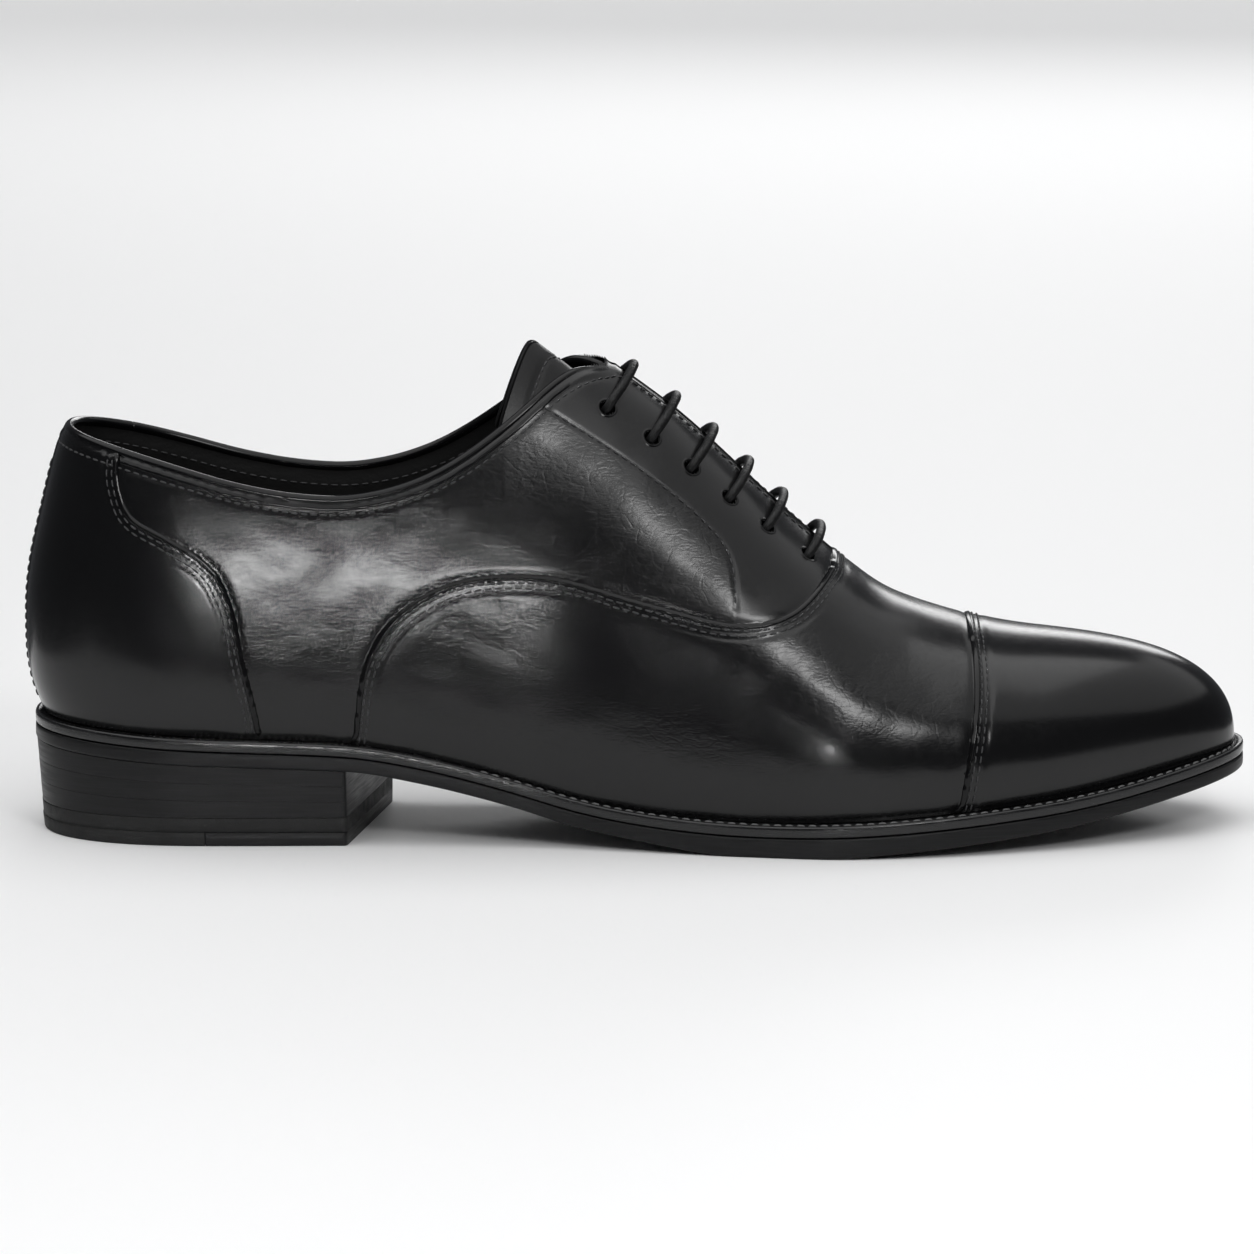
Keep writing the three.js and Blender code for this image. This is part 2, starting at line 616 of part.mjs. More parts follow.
// ---- lining ----
const vampLiningLine = seam([[-34, 0], [-24, 30], [6, 48], [38, 56], [49.5, 66], [51, 80]], 8);
const heelLiningLine = seam([[-104, 112], [-99, 80], [-97, 50], [-97, 10]], 4);
const vampLining = liner.intersect(across([
  ...beside(vampLiningLine, -halfGap),
  [60 * kx, HIGH],
  [200 * kx, HIGH],
  [200 * kx, LOW],
], -FAR, FAR)).subtract(groove);
const heelLiningArea = [
  [-200 * kx, LOW],
  ...beside(heelLiningLine, -halfGap).reverse().filter(([, z]) => z < 90.7),
  ...quarterLine(1, 0).slice(0, 4).reverse(),
  [-200 * kx, seat(-143, 101.9)[1]],
];
const heelLining = liner.intersect(across(heelLiningArea, -FAR, FAR)).subtract(groove);
function quarterLining(side) {
  const area = [
    ...beside(vampLiningLine, halfGap),
    [50 * kx, HIGH],
    [2 * kx, HIGH],
    ...quarterLine(side, 1.6).reverse().slice(0, 11),
    ...beside(heelLiningLine, halfGap).filter(([, z]) => z < 88.7),
  ];
  return liner.intersect(sideCut(area, side))
    .subtract(groove)
    .subtract(holes(side, EYELET_HOLE + 1.6, 0, 8));
}

// ---- tongue ----
const HINGE_X = 50 * kx;
const tongueArea = (inset) => [
  [48.5, 53 + inset], [30, 59 + inset], [0, 77 + inset], [-22, 90 + inset], [-31.5, 96.5 + inset],
  [-35 + inset, 100.5], [-33.6 + inset, 105], [-27 + inset, 117], [-24.2 + inset, 123],
].map(([x, z]) => seat(x, z)).concat([[-21 * kx, HIGH], [HINGE_X - 1.5, HIGH]]);
const tabArea = [
  [HINGE_X - 5, 40], [HINGE_X - 0.2, 40], [HINGE_X - 0.2, HIGH], [HINGE_X - 5, HIGH],
];
const TAB_HALF = 8;
const hingeY = axis(HINGE_X);
const tab = layer(LINING_END + GAP, TONGUE_END)
  .intersect(across(tabArea, hingeY - TAB_HALF, hingeY + TAB_HALF));
const tongue = layer(TONGUE_TOP, TONGUE_END)
  .intersect(across(tongueArea(0), -FAR, FAR))
  .add(tab)
  .subtract(laceClear);
const tongueLining = layer(TONGUE_END + GAP, TONGUE_END + GAP + LINING)
  .intersect(across(tongueArea(1), -FAR, FAR));

// ---- sole ----
const plateStations = [];
for (let k = 0; k <= 7; k += 1) plateStations.push(0.15 * (1 - Math.cos((k / 7) * (Math.PI / 2))));
for (let k = 1; k < 15; k += 1) plateStations.push(0.15 + (0.65 * k) / 15);
for (let k = 0; k <= 8; k += 1) plateStations.push(1 - 0.2 * (1 - Math.sin((k / 8) * (Math.PI / 2))));

// A plate with the sole's outline between two heights, its edge moved in at its top and bottom.
function plate(topZ, bottomZ, insetTop, insetBottom = insetTop) {
  const last = plateStations.length - 1;
  const points = [];
  plateStations.forEach((t) => {
    [[topZ, insetTop], [bottomZ, insetBottom]].forEach(([height, inset]) => {
      const x = HEEL_END + inset + t * (TOE_END - HEEL_END - 2 * inset);
      SIDES.forEach((side) => {
        points.push(new THREE.Vector3(x, soleEdge(x, side, inset), height(x)));
      });
    });
  });
  const at = (i, k) => {
    const end = i === 0 || i === last;
    return 4 * i + (end ? k - (k % 2) : k);
  };
  const triangles = [];
  const quad = (a, b, c, d) => [[a, b, c], [a, c, d]].forEach((face) => {
    if (new Set(face).size === 3) triangles.push(...face);
  });
  for (let i = 0; i < last; i += 1) {
    quad(at(i, 0), at(i + 1, 0), at(i + 1, 1), at(i, 1));
    quad(at(i, 2), at(i, 3), at(i + 1, 3), at(i + 1, 2));
    quad(at(i, 2), at(i + 1, 2), at(i + 1, 0), at(i, 0));
    quad(at(i, 1), at(i + 1, 1), at(i + 1, 3), at(i, 3));
  }
  return manifold(points.flatMap((p) => p.toArray()), triangles);
}
const lowered = (line, d) => (x) => line(x) - d;
const slab = (x0, x1) => across([[x0 * kx, LOW], [x1 * kx, LOW], [x1 * kx, HIGH], [x0 * kx, HIGH]],
  -FAR, FAR);

const welt = plate(weltTop, lowered(weltTop, WELT), 0)
  .subtract(plate(lowered(weltTop, -2), lowered(weltTop, WELT + 2), WELT_WIDTH));
const outsole = plate(lowered(weltTop, WELT + GAP), soleBottom, 0, 0.4);
const cavity = plate(lowered(weltTop, 0.1), lowered(weltTop, WELT - 0.1), WELT_WIDTH + GAP);
const filler = cavity.intersect(slab(-12, 200));
const SHANK = { half: 7, x0: -108, x1: -16, thick: 1.2, up: 0 };
const shankPlate = (grow, below) => {
  const top = lowered(weltTop, WELT - SHANK.up - SHANK.thick - grow);
  const bottom = lowered(weltTop, WELT - SHANK.up + below);
  const x0 = SHANK.x0 * kx - grow;
  const x1 = SHANK.x1 * kx + grow;
  const half = SHANK.half + grow;
  const plan = upright([[x0, -half], [x1, -half], [x1, half], [x0, half]], LOW, HIGH);
  return plate(top, bottom, WELT_WIDTH + 1).intersect(plan);
};
const shank = shankPlate(0, 0);
const waistFiller = cavity.intersect(slab(-200, -12.4)).subtract(shankPlate(GAP, 2));

const footSpace = inside(LINING_END + GAP, 12);
const INSOLE_TOP = GAP + INSOLE;
const insole = plate(lowered(weltTop, -INSOLE_TOP), lowered(weltTop, -GAP), 2).intersect(footSpace);
const sock = plate(lowered(weltTop, -INSOLE_TOP - GAP - SOCK), lowered(weltTop, -INSOLE_TOP - GAP), 2)
  .intersect(inside(LINING_END + GAP + 0.3, 12))
  .intersect(slab(-200, -48));

// ---- heel ----
const breast = upright([
  [-260, -FAR], [-82.2 * kx, -FAR], [-52 * kx, FAR], [-260, FAR],
], LOW, HIGH);
const HEEL_TAPER = 1.7;
const levels = [...Array(HEEL_LIFTS + 1).keys()].map((k) => {
  const t = k / HEEL_LIFTS;
  return (x) => (1 - t) * (soleBottom(x) - GAP) + t * (TOP_PIECE + GAP);
});
const lifts = [...Array(HEEL_LIFTS).keys()].map((k) => {
  const bottom = k < HEEL_LIFTS - 1 ? (x) => levels[k + 1](x) + GAP : levels[k + 1];
  const taper = (step) => 0.3 + (HEEL_TAPER * 0.7 * step) / HEEL_LIFTS;
  return plate(levels[k], bottom, taper(k), taper(k + 1)).intersect(breast);
});
const flat = (z) => () => z;
const wholeTop = plate(flat(TOP_PIECE), flat(0), HEEL_TAPER * 0.7 + 0.3, HEEL_TAPER + 0.3)
  .intersect(breast);
const INSERT_BACK = -107.7;
const NAIL = { diameter: 1.8, length: 2.6, sunk: 0.1 };
const nailPlaces = [[-98, -22], [-98, 21], [-86, -24], [-84, 22], [-76, -9], [-72, 9]];
const nail = ([x, y], diameter, length) => {
  const geometry = new THREE.CylinderGeometry(diameter / 2, diameter / 2, length, 8);
  geometry.rotateX(Math.PI / 2);
  geometry.translate(x * kx, y * ky, length / 2 + NAIL.sunk);
  return solid(geometry);
};
const insertSpace = across([
  [INSERT_BACK * kx, LOW], [0, LOW], [0, TIP_INSERT + GAP], [INSERT_BACK * kx, TIP_INSERT + GAP],
], -FAR, FAR);
const topPiece = wholeTop.subtract(insertSpace);
const tipInsert = nailPlaces.reduce(
  (part, place) => part.subtract(
    nail(place, NAIL.diameter + 2 * GAP, NAIL.length + 2 * GAP).translate([0, 0, -GAP]),
  ),
  plate(flat(TIP_INSERT), flat(0), HEEL_TAPER + 0.2, HEEL_TAPER + 0.3)
    .intersect(breast)
    .intersect(slab(-107.7 + GAP, 0)),
);

// ---- naming and colours ----
const shade = (color, roughness, metalness = 0) => () => (
  new THREE.MeshStandardMaterial({ color, roughness, metalness }));
const looks = {
  leather: shade(0x16161a, 0.28),
  edge: shade(0x1b1b1c, 0.45),
  lining: shade(0x1d1c1b, 0.7),
  board: shade(0x8a6a45, 0.8),
  cork: shade(0x7a5632, 0.95),
  rubber: shade(0x141414, 0.75),
  lace: shade(0x101012, 0.55),
  steel: shade(0x9a9da1, 0.35, 1),
  brass: shade(0xb08a4a, 0.35, 1),
  plastic: shade(0x0c0c0d, 0.3),
};

function piece(name, part, look) {
  const mesh = part.getMesh();
  const geometry = new THREE.BufferGeometry();
  geometry.setAttribute('position', new THREE.BufferAttribute(new Float32Array(mesh.vertProperties), 3));
  geometry.setIndex([...mesh.triVerts]);
  geometry.computeVertexNormals();
  const made = new THREE.Mesh(geometry, looks[look]());
  made.name = name;
  return made;
}

const shoe = new THREE.Group();
shoe.name = 'oxford_shoe';
const group = (name, ...meshes) => {
  const made = new THREE.Group();
  made.name = name;
  made.add(...meshes);
  shoe.add(made);
};

group(
  'upper_group',
  piece('toe_cap', capPanel, 'leather'),
  piece('vamp', vampPanel, 'leather'),
  piece('heel_foxing', foxing, 'leather'),
  ...SIDES.map((side) => piece(`quarter_${word[side]}`, quarter(side), 'leather')),
  piece('binding_rear', cordAlong(rearPath, BINDING, 8), 'leather'),
  ...SIDES.map((side) => piece(`binding_${word[side]}`, cordAlong(sidePath(side), BINDING, 8), 'leather')),
);
group(
  'stiffening_group',
  piece('toe_puff', toePuff, 'board'),
  piece('heel_counter', counter, 'board'),
  ...SIDES.map((side) => piece(`facing_stay_${word[side]}`, stay(side), 'lining')),
);
group(
  'lining_group',
  piece('vamp_lining', vampLining, 'lining'),
  piece('heel_lining', heelLining, 'lining'),
  ...SIDES.map((side) => piece(`quarter_lining_${word[side]}`, quarterLining(side), 'lining')),
);
group('tongue_group', piece('tongue', tongue, 'leather'), piece('tongue_lining', tongueLining, 'lining'));

const RING_HALF = STIFFENER / 2 - 0.2;
const ringProfile = [
  [EYELET_HOLE / 2, -RING_HALF], [EYELET_RING / 2, -RING_HALF],
  [EYELET_RING / 2, RING_HALF], [EYELET_HOLE / 2, RING_HALF], [EYELET_HOLE / 2, -RING_HALF],
].map(([r, z]) => new THREE.Vector2(r, z));
const eyeletPieces = SIDES.flatMap((side) => eyelets.map((place, k) => {
  const depth = STIFF_END - RING_HALF - 0.12;
  const ring = standing(new THREE.LatheGeometry(ringProfile, 8), k, side, depth);
  return piece(`eyelet_${word[side]}_${k + 1}`, ring, 'steel');
}));
const AGLET = 11;
const agletPath = (k, [forward, out]) => [
  near(k, 1, forward + GAP + 0.05, out, LACE_DEPTH),
  near(k, 1, forward + GAP + AGLET, out, LACE_DEPTH - 0.05),
];
const aglets = [
  agletPath(5, tailA[tailA.length - 1]),
  agletPath(4, tailB[tailB.length - 1]),
];
group(
  'lacing_group',
  piece('lace', laceSolid, 'lace'),
  ...aglets.map((path, k) => piece(`aglet_${k + 1}`, cordAlong(path, LACE, 8), 'plastic')),
  ...eyeletPieces,
);
group(
  'sole_group',
  piece('welt', welt, 'edge'),
  piece('outsole', outsole, 'edge'),
  piece('forepart_filler', filler, 'cork'),
  piece('waist_filler', waistFiller, 'board'),
  piece('shank', shank, 'steel'),
  piece('insole', insole, 'board'),
  piece('sock_liner', sock, 'lining'),
);
group(
  'heel_group',
  ...lifts.map((part, k) => piece(`heel_lift_${k + 1}`, part, 'edge')),
  piece('heel_top_piece', topPiece, 'rubber'),
  piece('heel_tip_insert', tipInsert, 'edge'),
  ...nailPlaces.map((place, k) => piece(`heel_nail_${k + 1}`, nail(place, NAIL.diameter, NAIL.length), 'brass')),
);

// The frame: the middle of the footprint is the origin, with the ground at z = 0.
shoe.updateMatrixWorld(true);
const box = new THREE.Box3().setFromObject(shoe, true);
const centre = box.getCenter(new THREE.Vector3());
shoe.children.forEach((part) => part.children.forEach((made) => {
  made.geometry.translate(-centre.x, -centre.y, -box.min.z);
}));

export default shoe;
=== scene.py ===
# A right black leather cap-toe oxford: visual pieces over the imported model, in its frame, in metres.
import math

import bpy
import numpy as np
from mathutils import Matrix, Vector
from mathutils.bvhtree import BVHTree


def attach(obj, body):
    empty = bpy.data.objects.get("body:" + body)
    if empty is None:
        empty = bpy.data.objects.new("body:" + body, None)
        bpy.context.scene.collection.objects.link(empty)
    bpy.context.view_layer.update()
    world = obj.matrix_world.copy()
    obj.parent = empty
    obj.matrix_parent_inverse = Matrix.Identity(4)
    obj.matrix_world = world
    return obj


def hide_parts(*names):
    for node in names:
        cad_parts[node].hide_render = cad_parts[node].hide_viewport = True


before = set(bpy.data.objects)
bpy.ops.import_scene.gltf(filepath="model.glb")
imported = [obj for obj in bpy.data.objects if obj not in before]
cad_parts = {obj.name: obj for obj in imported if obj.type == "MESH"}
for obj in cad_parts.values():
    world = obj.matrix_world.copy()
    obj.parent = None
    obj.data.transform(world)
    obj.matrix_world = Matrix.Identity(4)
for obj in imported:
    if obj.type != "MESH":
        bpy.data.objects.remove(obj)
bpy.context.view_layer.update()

MM = 0.001
SIDES = (-1, 1)  # -1 outer (lateral), 1 inner (medial)
WORD = {-1: "lateral", 1: "medial"}

# ---------------------------------------------------------------- camera
LOOK_AT = Vector((-0.0025, 0.0, 0.050))
DISTANCE = 2.1
ELEVATION = math.radians(9.8)
FRAME_WIDTH = 0.3162  # metres across the picture at the object

camera_data = bpy.data.cameras.new("camera")
camera_data.sensor_width = 36
camera_data.lens = 36 * DISTANCE / FRAME_WIDTH
camera_data.clip_end = 50
camera = bpy.data.objects.new("camera", camera_data)
bpy.context.scene.collection.objects.link(camera)
toward = Vector((0, -math.cos(ELEVATION), math.sin(ELEVATION)))
camera.location = LOOK_AT + toward * DISTANCE
camera.rotation_euler = (-toward).to_track_quat("-Z", "Y").to_euler()
bpy.context.scene.camera = camera


# ---------------------------------------------------------------- curves
class Profile:
    """A smooth curve through points, flat beyond its ends and rounded over a short length."""

    def __init__(self, *points, soften=0.0):
        p = np.array(points, float)
        self.x, self.y = p[:, 0], p[:, 1]
        rise = np.diff(self.y) / np.diff(self.x)
        slope = np.empty_like(self.x)
        slope[0], slope[-1] = rise[0], rise[-1]
        a, b = rise[:-1], rise[1:]
        with np.errstate(divide="ignore", invalid="ignore"):
            slope[1:-1] = np.where(a * b <= 0, 0, 2 * a * b / (a + b))
        self.slope = slope
        self.table = None
        if soften:
            step = 0.5
            reach = int(3 * soften / step)
            xs = np.arange(self.x[0] - step * reach, self.x[-1] + step * (reach + 1), step)
            ys = self.exact(xs)
            ys = np.where(xs < self.x[0], self.y[0] + slope[0] * (xs - self.x[0]), ys)
            ys = np.where(xs > self.x[-1], self.y[-1] + slope[-1] * (xs - self.x[-1]), ys)
            kernel = np.exp(-0.5 * (np.arange(-reach, reach + 1) * step / soften) ** 2)
            smooth = np.convolve(ys, kernel / kernel.sum(), mode="same")
            keep = slice(reach, len(xs) - reach)
            self.table = (xs[keep], smooth[keep])

    def exact(self, x):
        x = np.clip(np.asarray(x, float), self.x[0], self.x[-1])
        i = np.clip(np.searchsorted(self.x, x) - 1, 0, len(self.x) - 2)
        w = self.x[i + 1] - self.x[i]
        t = (x - self.x[i]) / w
        y0, y1 = self.y[i], self.y[i + 1]
        bend = (self.slope[i] * w - (y1 - y0)) * (1 - t)
        back = ((y1 - y0) - self.slope[i + 1] * w) * t
        return y0 + t * (y1 - y0) + t * (1 - t) * (bend + back)

    def __call__(self, x):
        if self.table is None:
            return self.exact(x)
        return np.interp(x, *self.table)


def step01(a, b, x):
    t = np.clip((np.asarray(x, float) - a) / (b - a), 0, 1)
    return t * t * (3 - 2 * t)


def bump_at(x, centre, width):
    return np.exp(-((np.asarray(x, float) - centre) / width) ** 2)


def round_end(t, power):
    t = np.clip(t, 0, 1)
    return (1 - (1 - t) ** power) ** (1 / power)


def unit(v):
    return v / np.maximum(np.linalg.norm(v, axis=-1, keepdims=True), 1e-12)


def spline(points, per=8, centripetal=False):
    """Points along a Catmull-Rom curve through the given ones."""
    p = np.asarray(points, float)
    p = np.vstack([2 * p[0] - p[1], p, 2 * p[-1] - p[-2]])
    out = []
    t = np.linspace(0, 1, per, endpoint=False)[:, None]
    for k in range(1, len(p) - 2):
        a, b, c, d = p[k - 1:k + 3]
        if centripetal:
            gaps = [max(np.linalg.norm(n - m) ** 0.5, 1e-6) for m, n in ((a, b), (b, c), (c, d))]
            t0, t1 = 0.0, gaps[0]
            t2 = t1 + gaps[1]
            t3 = t2 + gaps[2]
            s = t1 + t * (t2 - t1)
            a1 = (t1 - s) / (t1 - t0) * a + (s - t0) / (t1 - t0) * b
            a2 = (t2 - s) / (t2 - t1) * b + (s - t1) / (t2 - t1) * c
            a3 = (t3 - s) / (t3 - t2) * c + (s - t2) / (t3 - t2) * d
            b1 = (t2 - s) / (t2 - t0) * a1 + (s - t0) / (t2 - t0) * a2
            b2 = (t3 - s) / (t3 - t1) * a2 + (s - t1) / (t3 - t1) * a3
            out.append((t2 - s) / (t2 - t1) * b1 + (s - t1) / (t2 - t1) * b2)
        else:
            out.append(0.5 * (2 * b + (c - a) * t + (2 * a - 5 * b + 4 * c - d) * t ** 2
                              + (3 * b - a - 3 * c + d) * t ** 3))
    out.append(p[-2][None])
    return np.vstack(out)


def resample(path, step=None, count=None):
    path = np.asarray(path, float)
    run = np.concatenate([[0], np.cumsum(np.linalg.norm(np.diff(path, axis=0), axis=1))])
    if count is None:
        count = max(2, int(round(run[-1] / step)) + 1)
    s = np.linspace(0, run[-1], count)
    return np.stack([np.interp(s, run, path[:, k]) for k in range(path.shape[1])], axis=1)


def ease(path, passes=3):
    """Rounds small kinks, with the ends kept."""
    path = path.copy()
    for _ in range(passes):
        path[1:-1] = 0.25 * path[:-2] + 0.5 * path[1:-1] + 0.25 * path[2:]
    return path


# ---------------------------------------------------------------- the shoe's own profiles, in mm
SOFT = 5.0
welt_top = Profile(
    (-151.7, 29.7), (-116, 27.4), (-72, 25.6), (-54, 22.7), (-32.6, 17.4), (-15, 12.3), (3, 9.5),
    (20.7, 8.1), (32, 7.9), (60.4, 8.7), (81.7, 10.1), (103, 11.9), (120, 14.2), (139, 17.9),
    (148.4, 19.8), (153.5, 20.8), soften=SOFT)
sole_bottom = Profile(
    (-151.7, 23.2), (-116, 20.9), (-72, 19.1), (-54, 16.1), (-32.6, 10.9), (-15, 5.7), (3, 2.5),
    (14, 0.8), (22, 0), (46, 0), (60.4, 0.9), (81.7, 2.6), (103, 4.9), (120, 7.6), (139, 11.4),
    (148.4, 13.4), (153.5, 14.6), soften=2.0)
middle = Profile((-33, 0), (51, 2.5), (153.5, 5), soften=SOFT)
sole_width = {
    -1: Profile((-153.5, 34), (-100, 34), (-68, 33.5), (-28, 35.3), (6, 43), (36, 50), (51.5, 52.5),
                (76.5, 49.8), (101.5, 42.6), (126.5, 34.9), (143.5, 31.4), (153.5, 30), soften=SOFT),
    1: Profile((-153.5, 33), (-110, 33), (-68, 30.5), (-28, 26.5), (-3, 27.8), (26.5, 37), (51.5, 45),
               (66.5, 47), (86.5, 45.3), (106.5, 39.6), (126.5, 34.4), (143.5, 31.4), (153.5, 30),
               soften=SOFT)}
feather = {
    -1: Profile((-153.5, 4.3), (-90, 3.6), (-30, 3), (20, 4.2), (60, 4.6), (151, 4.6), soften=SOFT),
    1: Profile((-153.5, 4), (-90, 3), (-30, 2), (0, 2.4), (40, 4.2), (70, 4.6), (151, 4.6), soften=SOFT)}
overhang = {
    -1: Profile((-153.5, 2), (-100, 2.4), (-50, 2), (20, 1.5), (151, 1), soften=SOFT),
    1: Profile((-153.5, 2), (-100, 2.6), (-28, 7), (0, 7.5), (30, 4.5), (60, 1.8), (151, 1), soften=SOFT)}
ridge_height = Profile(
    (-153.5, 111), (-110, 117.7), (-50, 121.2), (-35, 119.4), (-23, 115.4), (-12.4, 109.9),
    (1.9, 101.4), (9, 96.9), (16, 91.3), (23.2, 84.8), (37.4, 71.4), (49.4, 60.7), (58.9, 52.8),
    (66.5, 48.5), (76.6, 44.2), (91.8, 39.2), (104.4, 36.9), (117, 35), (129.7, 33.1), (139.8, 31.3),
    (146.1, 30), (151.2, 28.8), soften=3.5)
bulge_height = Profile(
    (-153.5, 24), (-100, 22), (-60, 22), (-20, 23), (20, 18), (50, 13), (80, 10.5), (110, 9.5),
    (151, 9), soften=SOFT)
section_power = Profile(
    (-153.5, 1.3), (-110, 1.25), (-75, 1.2), (-40, 1.2), (-23, 1.1), (-7, 1), (60, 1), (100, 0.94),
    soften=SOFT)
back_shift = Profile(
    (29.7, 4.3), (36.4, 1.5), (46.7, 0), (57, 0), (67.2, 1), (80, 3.8), (95.5, 7.6), (103.2, 10.1),
    (140, 17), soften=3.0)
top_line = Profile(
    (-143.6, 101.7), (-127.7, 97.9), (-113.5, 93.9), (-99.2, 89.9), (-85, 87.4), (-74.4, 86.7),
    (-63.8, 88.1), (-53.1, 91.5), (-44.8, 95.8), (-30.1, 106.4), (-22.9, 112.5), (-18, 116.2),
    (-12.3, 118.4), (-8, 118.2), soften=2.5)

HEEL_END, TOE_END = -151.7, 153.5
UPPER_HEEL, UPPER_TOE = -153.5, 151.2
HEEL_WRAP, TOE_WRAP, TOE_RISE = 45, 55, 60
TOE_FULLNESS = 2.5
BACK_FADE = 70
BULGE_AT = 0.24
GAP = 0.3
BINDING = 2.6
BEAD_DEPTH = BINDING / 2 + 0.2
FACING_HALF = 0.2 + BINDING / 2
LACE = 2.4
LACE_DEPTH = 5.65
TONGUE_TOP, TONGUE_END = 7.2, 9.6
LINING_DEPTH = 3.2
STIFF_END = 2.9


def sole_edge(x, side):
    heel = round_end((x - HEEL_END) / HEEL_WRAP, 2.3)
    toe = round_end((TOE_END - x) / TOE_WRAP, 2.3)
    return middle(x) + side * sole_width[side](x) * heel * toe


def shift_at(x, z):
    return back_shift(z) * np.maximum(0, 1 - (x - UPPER_HEEL) / BACK_FADE) ** 2


def upper_levels(x):
    rise = round_end((UPPER_TOE - x) / TOE_RISE, TOE_FULLNESS)
    bottom = welt_top(x) + GAP
    return bottom, bottom + bulge_height(x) * rise, bottom + ridge_height(x) * rise


def upper_point(x, side, v):
    """The upper's outer surface: station x, side, and v from the welt (0) to the ridge (1)."""
    x, v = np.broadcast_arrays(np.asarray(x, float), np.asarray(v, float))
    heel = round_end((x - UPPER_HEEL) / HEEL_WRAP, 2.4)
    toe = round_end((UPPER_TOE - x) / TOE_WRAP, 2.3)
    foot = sole_width[side](x) - feather[side](x)
    wide = foot + overhang[side](x)
    bottom, bulge, top = upper_levels(x)
    t = 1 - np.minimum(v / BULGE_AT, 1)
    a = np.clip((v - BULGE_AT) / (1 - BULGE_AT), 0, 1) * (math.pi / 2)
    low = v < BULGE_AT
    half = np.where(low, wide - (wide - foot) * t * t,
                    wide * np.maximum(0, np.cos(a)) ** section_power(x))
    z = np.where(low, bulge - (bulge - bottom) * t, bulge + (top - bulge) * np.sin(a))
    return np.stack([x + shift_at(x, z), middle(x) + side * half * heel * toe, z], axis=-1)


def high_share(z, bulge, top):
    """v of a height above the widest line."""
    sine = np.clip((z - bulge) / np.maximum(top - bulge, 1e-6), 0, 1)
    return BULGE_AT + (1 - BULGE_AT) * np.arcsin(sine) / (math.pi / 2)


def station_of(x, z):
    """(x', v) of the surface seen from the side at (x, z)."""
    x, z = np.asarray(x, float), np.asarray(z, float)
    s = np.maximum(x, UPPER_HEEL)
    for _ in range(30):
        s = np.clip(0.5 * s + 0.5 * (x - shift_at(s, z)), UPPER_HEEL, UPPER_TOE)
    bottom, bulge, top = upper_levels(s)
    low = BULGE_AT * (z - bottom) / np.maximum(bulge - bottom, 1e-6)
    return s, np.clip(np.where(z < bulge, low, high_share(z, bulge, top)), 0, 1)


def normal_at(s, side, v):
    """The outward normal at station s and v, from the surface's own slopes."""
    step, share = 0.4, 0.004
    s = np.clip(s, UPPER_HEEL + 0.02, UPPER_TOE - 0.02)
    ahead, behind = np.minimum(s + step, UPPER_TOE), np.maximum(s - step, UPPER_HEEL)
    along = upper_point(ahead, side, v) - upper_point(behind, side, v)
    low, high = np.clip(v - share, 0, 1), np.clip(v + share, 0, 1)
    upward = upper_point(s, side, high) - upper_point(s, side, low)
    n = unit(np.cross(along, upward))
    flat = np.asarray(v) > 1 - 1e-3
    n = np.where(flat[..., None], unit(n * np.array([1, 0, 1])), n)
    return n * np.where(side < 0, 1, -1)


def under(x, z, side, depth):
    """The surface point seen from the side at (x, z), sunk by depth."""
    s, v = station_of(x, z)
    depth = np.asarray(depth, float)
    return upper_point(s, side, v) - depth[..., None] * normal_at(s, side, v)


# ---------------------------------------------------------------- mesh helpers
def new_mesh(name, verts, faces):
    """A smooth mesh object from mm vertices and a list of face arrays, without unused vertices."""
    faces = [np.asarray(f, int) for f in faces if len(f)]
    used = np.unique(np.concatenate([f.ravel() for f in faces]))
    number = np.full(len(verts), -1)
    number[used] = np.arange(len(used))
    points = np.asarray(verts, float)[used] * MM
    mesh = bpy.data.meshes.new(name)
    mesh.vertices.add(len(points))
    mesh.vertices.foreach_set("co", points.astype(np.float32).ravel())
    loops = np.concatenate([number[f].ravel() for f in faces])
    sizes = np.concatenate([np.full(len(f), f.shape[1]) for f in faces])
    starts = np.concatenate([[0], np.cumsum(sizes)[:-1]])
    mesh.loops.add(len(loops))
    mesh.loops.foreach_set("vertex_index", loops.astype(np.int32))
    mesh.polygons.add(len(sizes))
    mesh.polygons.foreach_set("loop_start", starts.astype(np.int32))
    mesh.polygons.foreach_set("use_smooth", np.ones(len(sizes), bool))
    mesh.update(calc_edges=True)
    mesh.validate()
    made = bpy.data.objects.new(name, mesh)
    bpy.context.scene.collection.objects.link(made)
    return made, used


def paint(made, name, values):
    layer = made.data.attributes.new(name, "FLOAT", "POINT")
    layer.data.foreach_set("value", np.asarray(values, np.float32))


def dress(made, material, body="shoe", nodes=()):
    made.data.materials.append(material)
    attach(made, body)
    if nodes:
        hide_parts(*nodes)
    return made


def piece(name, shape, material, body="shoe", nodes=()):
    """A dressed mesh object from a shape's (vertices, faces)."""
    made, _ = new_mesh(name, *shape)
    return dress(made, material, body, nodes)


def strip_faces(rows, cols, wrap=False, flip=False):
    """Quads of a rows x cols grid of vertices, joined round the columns if wrap."""
    i, j = np.meshgrid(np.arange(rows - 1), np.arange(cols if wrap else cols - 1), indexing="ij")
    k = (j + 1) % cols
    quads = np.stack([i * cols + j, (i + 1) * cols + j, (i + 1) * cols + k, i * cols + k], axis=-1)
    quads = quads.reshape(-1, 4)
    return quads[:, ::-1] if flip else quads


